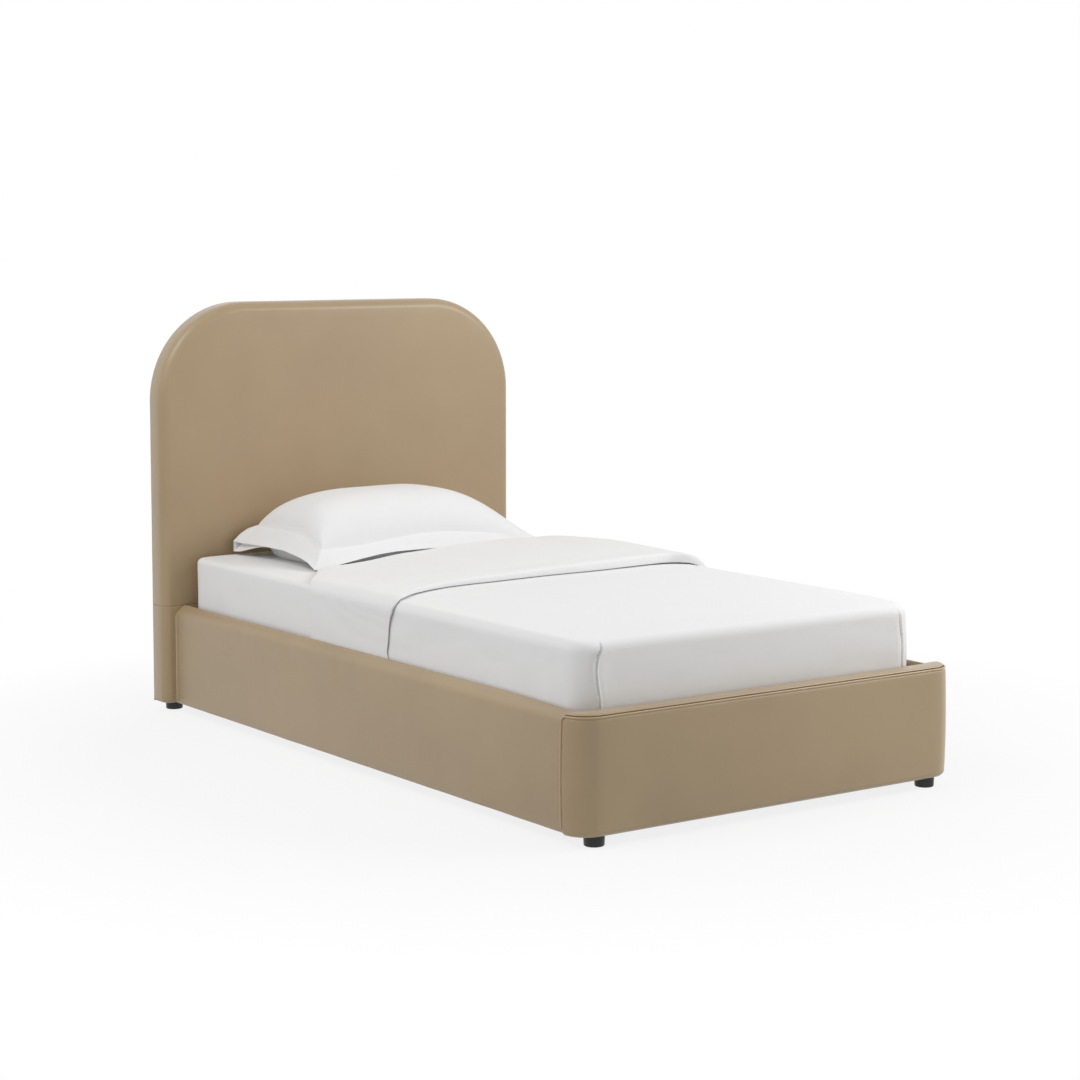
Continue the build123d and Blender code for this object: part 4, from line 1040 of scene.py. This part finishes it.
def duvet_layer():
    """The cloth drawn over the mattress, its head end cut back where it folds."""
    low = (-duvet_side_x, duvet_foot_y, duvet_hem_z)
    high = (duvet_side_x, duvet_head_y, duvet_top)
    obj = block("duvet_cloth", low, high)
    at_foot = lambda m: near(m.y, low[1])
    left_radius, right_radius = 58 * MM, 90 * MM
    round_edges(obj, lambda m, d: runs(d.z) and at_foot(m) and m.x < 0, left_radius, 12)
    round_edges(obj, lambda m, d: runs(d.z) and at_foot(m) and m.x > 0, right_radius, 16)
    round_edges(
        obj,
        lambda m, d: near(m.z, high[2]) and not near(m.y, high[1]) and crosses(d.z),
        duvet_edge_radius,
        8,
    )
    grid_cuts(
        obj,
        x=spaced(-duvet_side_x + left_radius, duvet_side_x - right_radius, 40),
        y=spaced(low[1] + left_radius, high[1], 60),
        z=spaced(low[2], high[2] - duvet_edge_radius, 24),
    )
    grid_cuts(
        obj,
        x=spaced(-0.505, -0.452, 52) + spaced(right_pleat_x - 0.020, right_pleat_x + 0.022, 14),
    )
    cut_away(obj, lambda m, n: near(m.z, low[2]) or near(m.y, high[1]))
    # the head end is cut back at a slant on both sides, where the cloth folds
    slant = Vector((duvet_head_y - fold_side_y, duvet_side_x - fold_corner_x, 0)).normalized()
    for sign in SIDES.values():
        enter(obj)
        bpy.ops.mesh.bisect(
            plane_co=(sign * fold_corner_x, duvet_head_y, 0),
            plane_no=(sign * slant.x, slant.y, 0),
            clear_outer=True,
        )
        leave()

    move_points(obj, drape)
    apply_modifier(obj, "SOLIDIFY", "wall", thickness=2.2 * MM, offset=-1)
    return obj


duvet = duvet_layer()


# ---------------------------------------------------------------- duvet: the folded part

side_reach = duvet_side_x - duvet_edge_radius + duvet_edge_radius * math.pi / 2
full_reach = side_reach + (duvet_top - duvet_edge_radius - duvet_hem_z)

# The folded part's edges: (reach over the bed from its middle, place along it in m or depth in mm)
fold_foot_edge = [
    (-0.710, -0.168), (-0.683, -0.158), (-0.665, -0.140), (-0.625, -0.152), (-0.591, -0.155),
    (-0.562, -0.164), (-0.538, -0.182), (-0.518, -0.180), (-0.499, -0.163), (-0.443, -0.118),
    (-0.369, -0.084), (-0.292, -0.064), (-0.224, -0.056), (-0.163, -0.054), (-0.056, -0.045),
    (0.049, -0.040), (0.147, -0.042), (0.254, -0.039), (0.367, -0.030), (0.435, -0.025),
    (0.476, -0.030), (0.508, -0.060), (0.535, -0.100), (0.575, -0.120), (0.710, -0.118),
]
fold_head_depth = [
    (-0.710, 3.0), (-0.620, 4.0), (-0.480, 5.0), (-0.300, 5.5), (-0.220, 11.0), (-0.160, 19.0),
    (-0.110, 25.0), (-0.030, 30.5), (0.050, 35.0), (0.157, 38.5), (0.230, 39.5), (0.340, 37.0),
    (0.450, 35.0), (0.508, 33.0), (0.535, 22.0), (0.570, 10.0), (0.610, 5.0), (0.650, 3.0),
    (0.710, 3.0),
]
fold_foot_depth = [
    (-0.710, 3.0), (-0.650, 4.5), (-0.590, 6.0), (-0.540, 9.0), (-0.450, 14.0), (-0.300, 18.0),
    (-0.100, 22.0), (0.100, 26.0), (0.300, 30.0), (0.490, 31.0), (0.508, 30.0), (0.535, 20.0),
    (0.570, 10.0), (0.610, 5.5), (0.650, 3.5), (0.710, 3.0),
]


def over_the_bed(reach, rise):
    """A place across the bed, by the reach over its top and down its side and the rise off it."""
    sign = math.copysign(1, reach)
    reach = abs(reach)
    flat = duvet_side_x - duvet_edge_radius
    turn = duvet_edge_radius * math.pi / 2
    if reach < flat:
        return Vector((sign * reach, 0, duvet_top + rise))
    if reach < flat + turn:
        angle = (reach - flat) / duvet_edge_radius
        radius = duvet_edge_radius + rise
        return Vector((
            sign * (flat + radius * math.sin(angle)),
            0,
            duvet_top - duvet_edge_radius + radius * math.cos(angle),
        ))
    drop = reach - flat - turn
    return Vector((sign * (duvet_side_x + rise), 0, duvet_top - duvet_edge_radius - drop))


def fold_head_y(reach):
    """Where the cloth turns back, at the pillow on top and further down the bed at the sides."""
    r = abs(reach)
    start, end = fold_corner_x - 0.02, side_reach - 0.01
    share = min(max((r - start) / (end - start), 0), 1)
    if reach > 0:
        share = share * share
    return duvet_head_y + (fold_side_y - duvet_head_y) * share


# Rows of the loop: flat underneath, round the foot edge, over the top and down at the head
under_rows, foot_rows, top_rows, head_rows = 26, 12, 70, 10
fold_rows = under_rows + foot_rows + top_rows + head_rows
fold_blur = 0.030


def fold_place(a, b):
    """A point of the folded part, one closed loop of cloth that is swept across the bed."""
    reach = (2 * a - 1) * full_reach
    row = round(b * fold_rows)
    foot = read_smooth(fold_foot_edge, reach, fold_blur)
    foot += 1.5 * MM * soft_noise((reach, 0, 0), 0.07, 41)
    head = fold_head_y(reach)
    foot_depth = read_smooth(fold_foot_depth, reach, fold_blur) * MM
    head_depth = read_smooth(fold_head_depth, reach, fold_blur) * MM
    head_depth *= 1 + 0.08 * soft_noise((reach, 0, 0), 0.10, 42)
    foot_roll = min(foot_depth / 2, 9 * MM)
    head_roll = min(head_depth / 2, 12 * MM)
    lift = min(3.2 * MM, foot_depth * 0.6)
    if row <= under_rows:
        share = 1 - (1 - row / under_rows) ** 2
        y = head - head_roll + (foot + foot_roll - head + head_roll) * share
        rise = lift * (1 - ease(y - foot, 20 * MM, 45 * MM))
    elif row <= under_rows + foot_rows:
        angle = math.pi * (row - under_rows) / foot_rows
        y = foot + foot_roll * (1 - math.sin(angle) ** (0.3 if angle < math.pi / 2 else 0.9))
        rise = lift + (foot_depth - lift) * (1 - math.cos(angle)) / 2
    elif row <= under_rows + foot_rows + top_rows:
        share = ((row - under_rows - foot_rows) / top_rows) ** 1.7
        y = foot + foot_roll + (head - head_roll - foot - foot_roll) * share
        plump = ease(foot_depth, 4 * MM, 20 * MM)
        fade = ease(share, 0, 0.12) * ease(1 - share, 0, 0.12)
        sag = 0.7 + 0.5 * soft_noise((reach, 0, 0), 0.2, 44)
        rise = foot_depth + (head_depth - foot_depth) * ease(share, 0.1, 1)
        rise += (2.2 * MM * soft_noise((reach, y, 0), 0.15, 43) + 2.0 * MM) * plump * fade
        rise -= 1.1 * MM * hump(y - foot, foot_roll + 7 * MM, 1.8 * MM)
        rise -= 3.0 * MM * hump(y - foot, 0.085, 0.030) * plump * sag
    else:
        angle = math.pi * (row - under_rows - foot_rows - top_rows) / head_rows
        y = head - head_roll * (1 - math.sin(angle))
        rise = head_depth * (1 + math.cos(angle)) / 2
    spot = over_the_bed(reach, rise + 0.5 * MM)
    spot.y = y
    return spot


fold = grid_of_points("duvet_fold_cloth", 210, fold_rows, fold_place)
close_up(fold)
join(duvet, [fold])
settle(duvet, bed_cotton, "mattress", ["duvet"], 60)


# ---------------------------------------------------------------- pillow in its flanged case

pillow_low = Vector((-0.395, 0.464, 0))
pillow_high = Vector((0.505, 0.932, 0))
flange = 50 * MM
case_rest_z = sheet_top + 0.6 * MM
crest = 196 * MM

# Heights of the case's free edges above the sheet: (place, height) along each edge
left_edge_front = [
    (0.460, 0.004), (0.478, 0.010), (0.508, 0.021), (0.551, 0.029), (0.647, 0.039),
    (0.752, 0.039),
]
left_edge_top = left_edge_front + [(0.817, 0.0385), (0.895, 0.037), (0.932, 0.038)]
left_edge_low = left_edge_front + [(0.790, 0.035), (0.850, 0.022), (0.895, 0.011), (0.932, 0.008)]
rear_edge_top = [(-0.395, 0.038), (-0.375, 0.058), (-0.345, 0.074), (0.100, 0.074), (0.505, 0.004)]
rear_edge_low = [(-0.395, 0.008), (-0.345, 0.040), (-0.270, 0.074), (0.100, 0.074), (0.505, 0.004)]
front_edge = [
    (-0.395, 0.004), (-0.340, 0.008), (-0.300, 0.015), (-0.240, 0.024), (-0.180, 0.032),
    (-0.120, 0.036), (0.100, 0.036), (0.300, 0.030), (0.450, 0.012), (0.505, 0.004),
]
case_columns, case_rows = 230, 190
case_half = (pillow_high - pillow_low) / 2
case_middle = (pillow_high + pillow_low) / 2


def flanged(share, axis):
    """A place from -1 to 1 across the panel, with most of the grid's lines near the stitching."""
    border = (flange + 14 * MM) / case_half[axis]
    near_edge = 0.16
    if share < near_edge:
        return -1 + border * share / near_edge
    if share > 1 - near_edge:
        return 1 - border * (1 - share) / near_edge
    return (1 - border) * (2 * (share - near_edge) / (1 - 2 * near_edge) - 1)


def stitch_height(x, y):
    """Height of the case's stitch line above the sheet, higher at the lifted left end."""
    left = 1 - ease(x, -0.345, -0.16)
    front = 0.052 + 0.024 * hump(x, 0.03, 0.20)
    front += (0.020 - front) * ease(x, 0.20, 0.45)
    end = 0.052 + 0.034 * ease(y, 0.50, 0.66)
    return front * (1 - left) + end * left


def edge_height(x, y, du, dv, top, right, front):
    """Height of the nearest free edge above the sheet, blended round the case's corners."""
    side = 4 * MM if right else read_smooth(left_edge_top if top else left_edge_low, y, 0.02)
    end = read_smooth(front_edge if front else (rear_edge_top if top else rear_edge_low), x, 0.015)
    side_weight, end_weight = dv * (1 - du), du * (1 - dv)
    total = side_weight + end_weight
    if total > 1e-9:
        return (side * side_weight + end * end_weight) / total
    return side if du < dv else end


def case_place(u, v, top):
    """A point of the case from its place in the panel, -1 to 1 each way."""
    # the sides of the case pull in between its corners
    x = case_middle.x + u * (case_half.x - 9 * MM * (1 - v * v))
    y = case_middle.y + v * (case_half.y - 11 * MM * (1 - u * u))
    du = min((1 - abs(u)) * case_half.x / flange, 1)
    dv = min((1 - abs(v)) * case_half.y / flange, 1)
    across = min(du, dv)
    stitch = stitch_height(x, y)
    if across < 1:
        edge = edge_height(x, y, du, dv, top, u > 0, v < 0)
        share = ease(across, 0, 1) * 0.5 + across * 0.5
        z = edge * (1 - share) + stitch * share
        z += 1.6 * MM * soft_noise((x, y, 0), 0.045, 52) * math.sin(math.pi * across)
        thick = 1.3 * MM - 2.6 * MM * hump(across, 0.95, 0.045)
        if across > 1e-6:
            z += thick if top else -thick
        return Vector((x, y, case_rest_z + max(z, 0.8 * MM if top else 0)))
    a = min(abs(u) * case_half.x / (case_half.x - flange), 1)
    b = min(abs(v) * case_half.y / (case_half.y - flange), 1)
    if u > 0:
        length_share = max(1 - a**2.0, 0) ** 1.36
    else:
        length_share = max(1 - a**4.4, 0) ** 0.35
    profile = length_share * max(1 - b**3.0, 0) ** 0.62
    from_stitch = min((1 - a) * (case_half.x - flange), (1 - b) * (case_half.y - flange))
    gathers = soft_noise((x, y, 0), 0.028, 53) * hump(from_stitch, 0.012, 0.022)
    if top:
        z = stitch + (crest - stitch) * profile
        z += 1.4 * MM * gathers + 2.2 * MM * soft_noise((x, y, 0), 0.15, 54) * min(profile * 2, 1)
        z = max(z, stitch + 0.3 * MM)
    else:
        z = max(stitch - stitch * min(profile * 2.1, 1), 0) - (0.3 * MM if profile < 1e-6 else 0)
    return Vector((x, y, case_rest_z + max(z, 0)))


def pocket_place(a, b):
    """The open end of the case, seen between its top and bottom layers."""
    v = flanged(b, 1)
    upper, lower = case_place(-1, v, True), case_place(-1, v, False)
    gap = (upper - lower).length
    middle = (upper + lower) / 2 + Vector((min(1.3 * gap, 38 * MM), 0, 0))
    return upper if a < 0.25 else (lower if a > 0.75 else middle)


def rear_hem_place(a, b):
    """The rear seam, which closes the two layers behind the open end."""
    return case_place(flanged(a, 0), 1, b > 0.5)


def case_layer(top):
    return grid_of_points(
        "pillow_case_cloth", case_columns, case_rows,
        lambda a, b: case_place(flanged(a, 0), flanged(b, 1), top),
    )


case = case_layer(True)
join(case, [
    case_layer(False),
    grid_of_points("pillow_case_cloth", 2, case_rows, pocket_place),
    grid_of_points("pillow_case_cloth", case_columns, 1, rear_hem_place),
])
close_up(case, fill=False)
settle(case, bed_cotton, "pillow", ["pillow_case"], 50)

# The pillow inside, a plain crowned pad that fills the case and shows where its end is open
deselect()
bpy.ops.mesh.primitive_uv_sphere_add(segments=64, ring_count=32, radius=1, location=(0, 0, 0))
inner_pillow = name_made("pillow_pad")
pad_clear = 2.5 * MM


def pillow_pad_point(point, normal):
    """A ball's point moved between the case's two layers, with the ball's rim squared out."""
    length = math.hypot(point.x, point.y)
    widest = max(abs(point.x), abs(point.y), 1e-9)
    squared = 1 + 0.8 * (length / widest - 1)
    u = point.x * squared * (1 - (flange + 8 * MM) / case_half.x)
    v = point.y * squared * (1 - (flange + 8 * MM) / case_half.y)
    upper, lower = case_place(u, v, True), case_place(u, v, False)
    middle = (upper + lower) / 2
    room = max((upper.z - lower.z) / 2 - pad_clear, 0.3 * MM)
    middle.z += math.copysign(abs(point.z) ** 0.5, point.z) * room
    return middle


move_points(inner_pillow, pillow_pad_point)
settle(inner_pillow, pillow_ticking, "pillow", ["pillow"], 60)


# ---------------------------------------------------------------- floor, backdrop and lamps

floor_grey = 0.66
near_white = 0.84
white_from, white_past = 1.1, 2.0
sky_light = 0.57


def stage_material():
    """Pale floor that keeps the shadow near the bed and turns to plain white further out."""
    grey = (floor_grey, floor_grey, floor_grey, 1)
    finish = Finish("studio floor", 0.9, Specular_IOR_Level=0.1, Base_Color=grey)
    place = finish.add("ShaderNodeTexCoord", {}, out="Object")
    distance = finish.add("ShaderNodeVectorMath", {"operation": "LENGTH"}, place, out="Value")
    camera_ray, glossy_ray, clear_ray = finish.rays()
    fade = finish.ramp(distance, white_from, white_past, near_white, 1.0)
    share = finish.ramp(camera_ray * fade + glossy_ray + clear_ray, 0.0, 1.0)
    shaded = Wire(finish, finish.shader.outputs[0])
    white = finish.add("ShaderNodeEmission", {})
    mixed = finish.add("ShaderNodeMixShader", {}, share, shaded, white)
    finish.put(finish.nodes["Material Output"].inputs["Surface"], mixed)
    return finish.material


deselect()
bpy.ops.mesh.primitive_plane_add(size=80, location=(0, 0, -0.0005))
floor = name_made("studio_floor")
floor.data.materials.append(stage_material())

world = bpy.data.worlds.new("studio")
bpy.context.scene.world = world
sky = Tree(world)
background = sky.nodes["Background"]
sky.put(background.inputs["Color"], (1, 1, 1, 1))
camera_ray, glossy_ray, clear_ray = sky.rays()
strength = sky.ramp(camera_ray + glossy_ray + clear_ray, 0.0, 1.0, sky_light, 1.0)
sky.put(background.inputs["Strength"], strength)


def lamp(name, place, target, size, power):
    light = bpy.data.lights.new(name, "AREA")
    light.shape = "RECTANGLE"
    light.size, light.size_y = size
    light.energy = power
    obj = bpy.data.objects.new(name, light)
    obj.location = place
    obj.rotation_mode = "QUATERNION"
    obj.rotation_quaternion = (Vector(target) - Vector(place)).to_track_quat("-Z", "Y")
    bpy.context.collection.objects.link(obj)
    return obj


lamp("right_front", (2.5, -1.9, 2.3), (0, 0.6, 0.5), (1.5, 1.5), 56)
lamp("left_high", (-2.7, 0.1, 3.5), (0, 0, 0.3), (1.8, 1.8), 51)
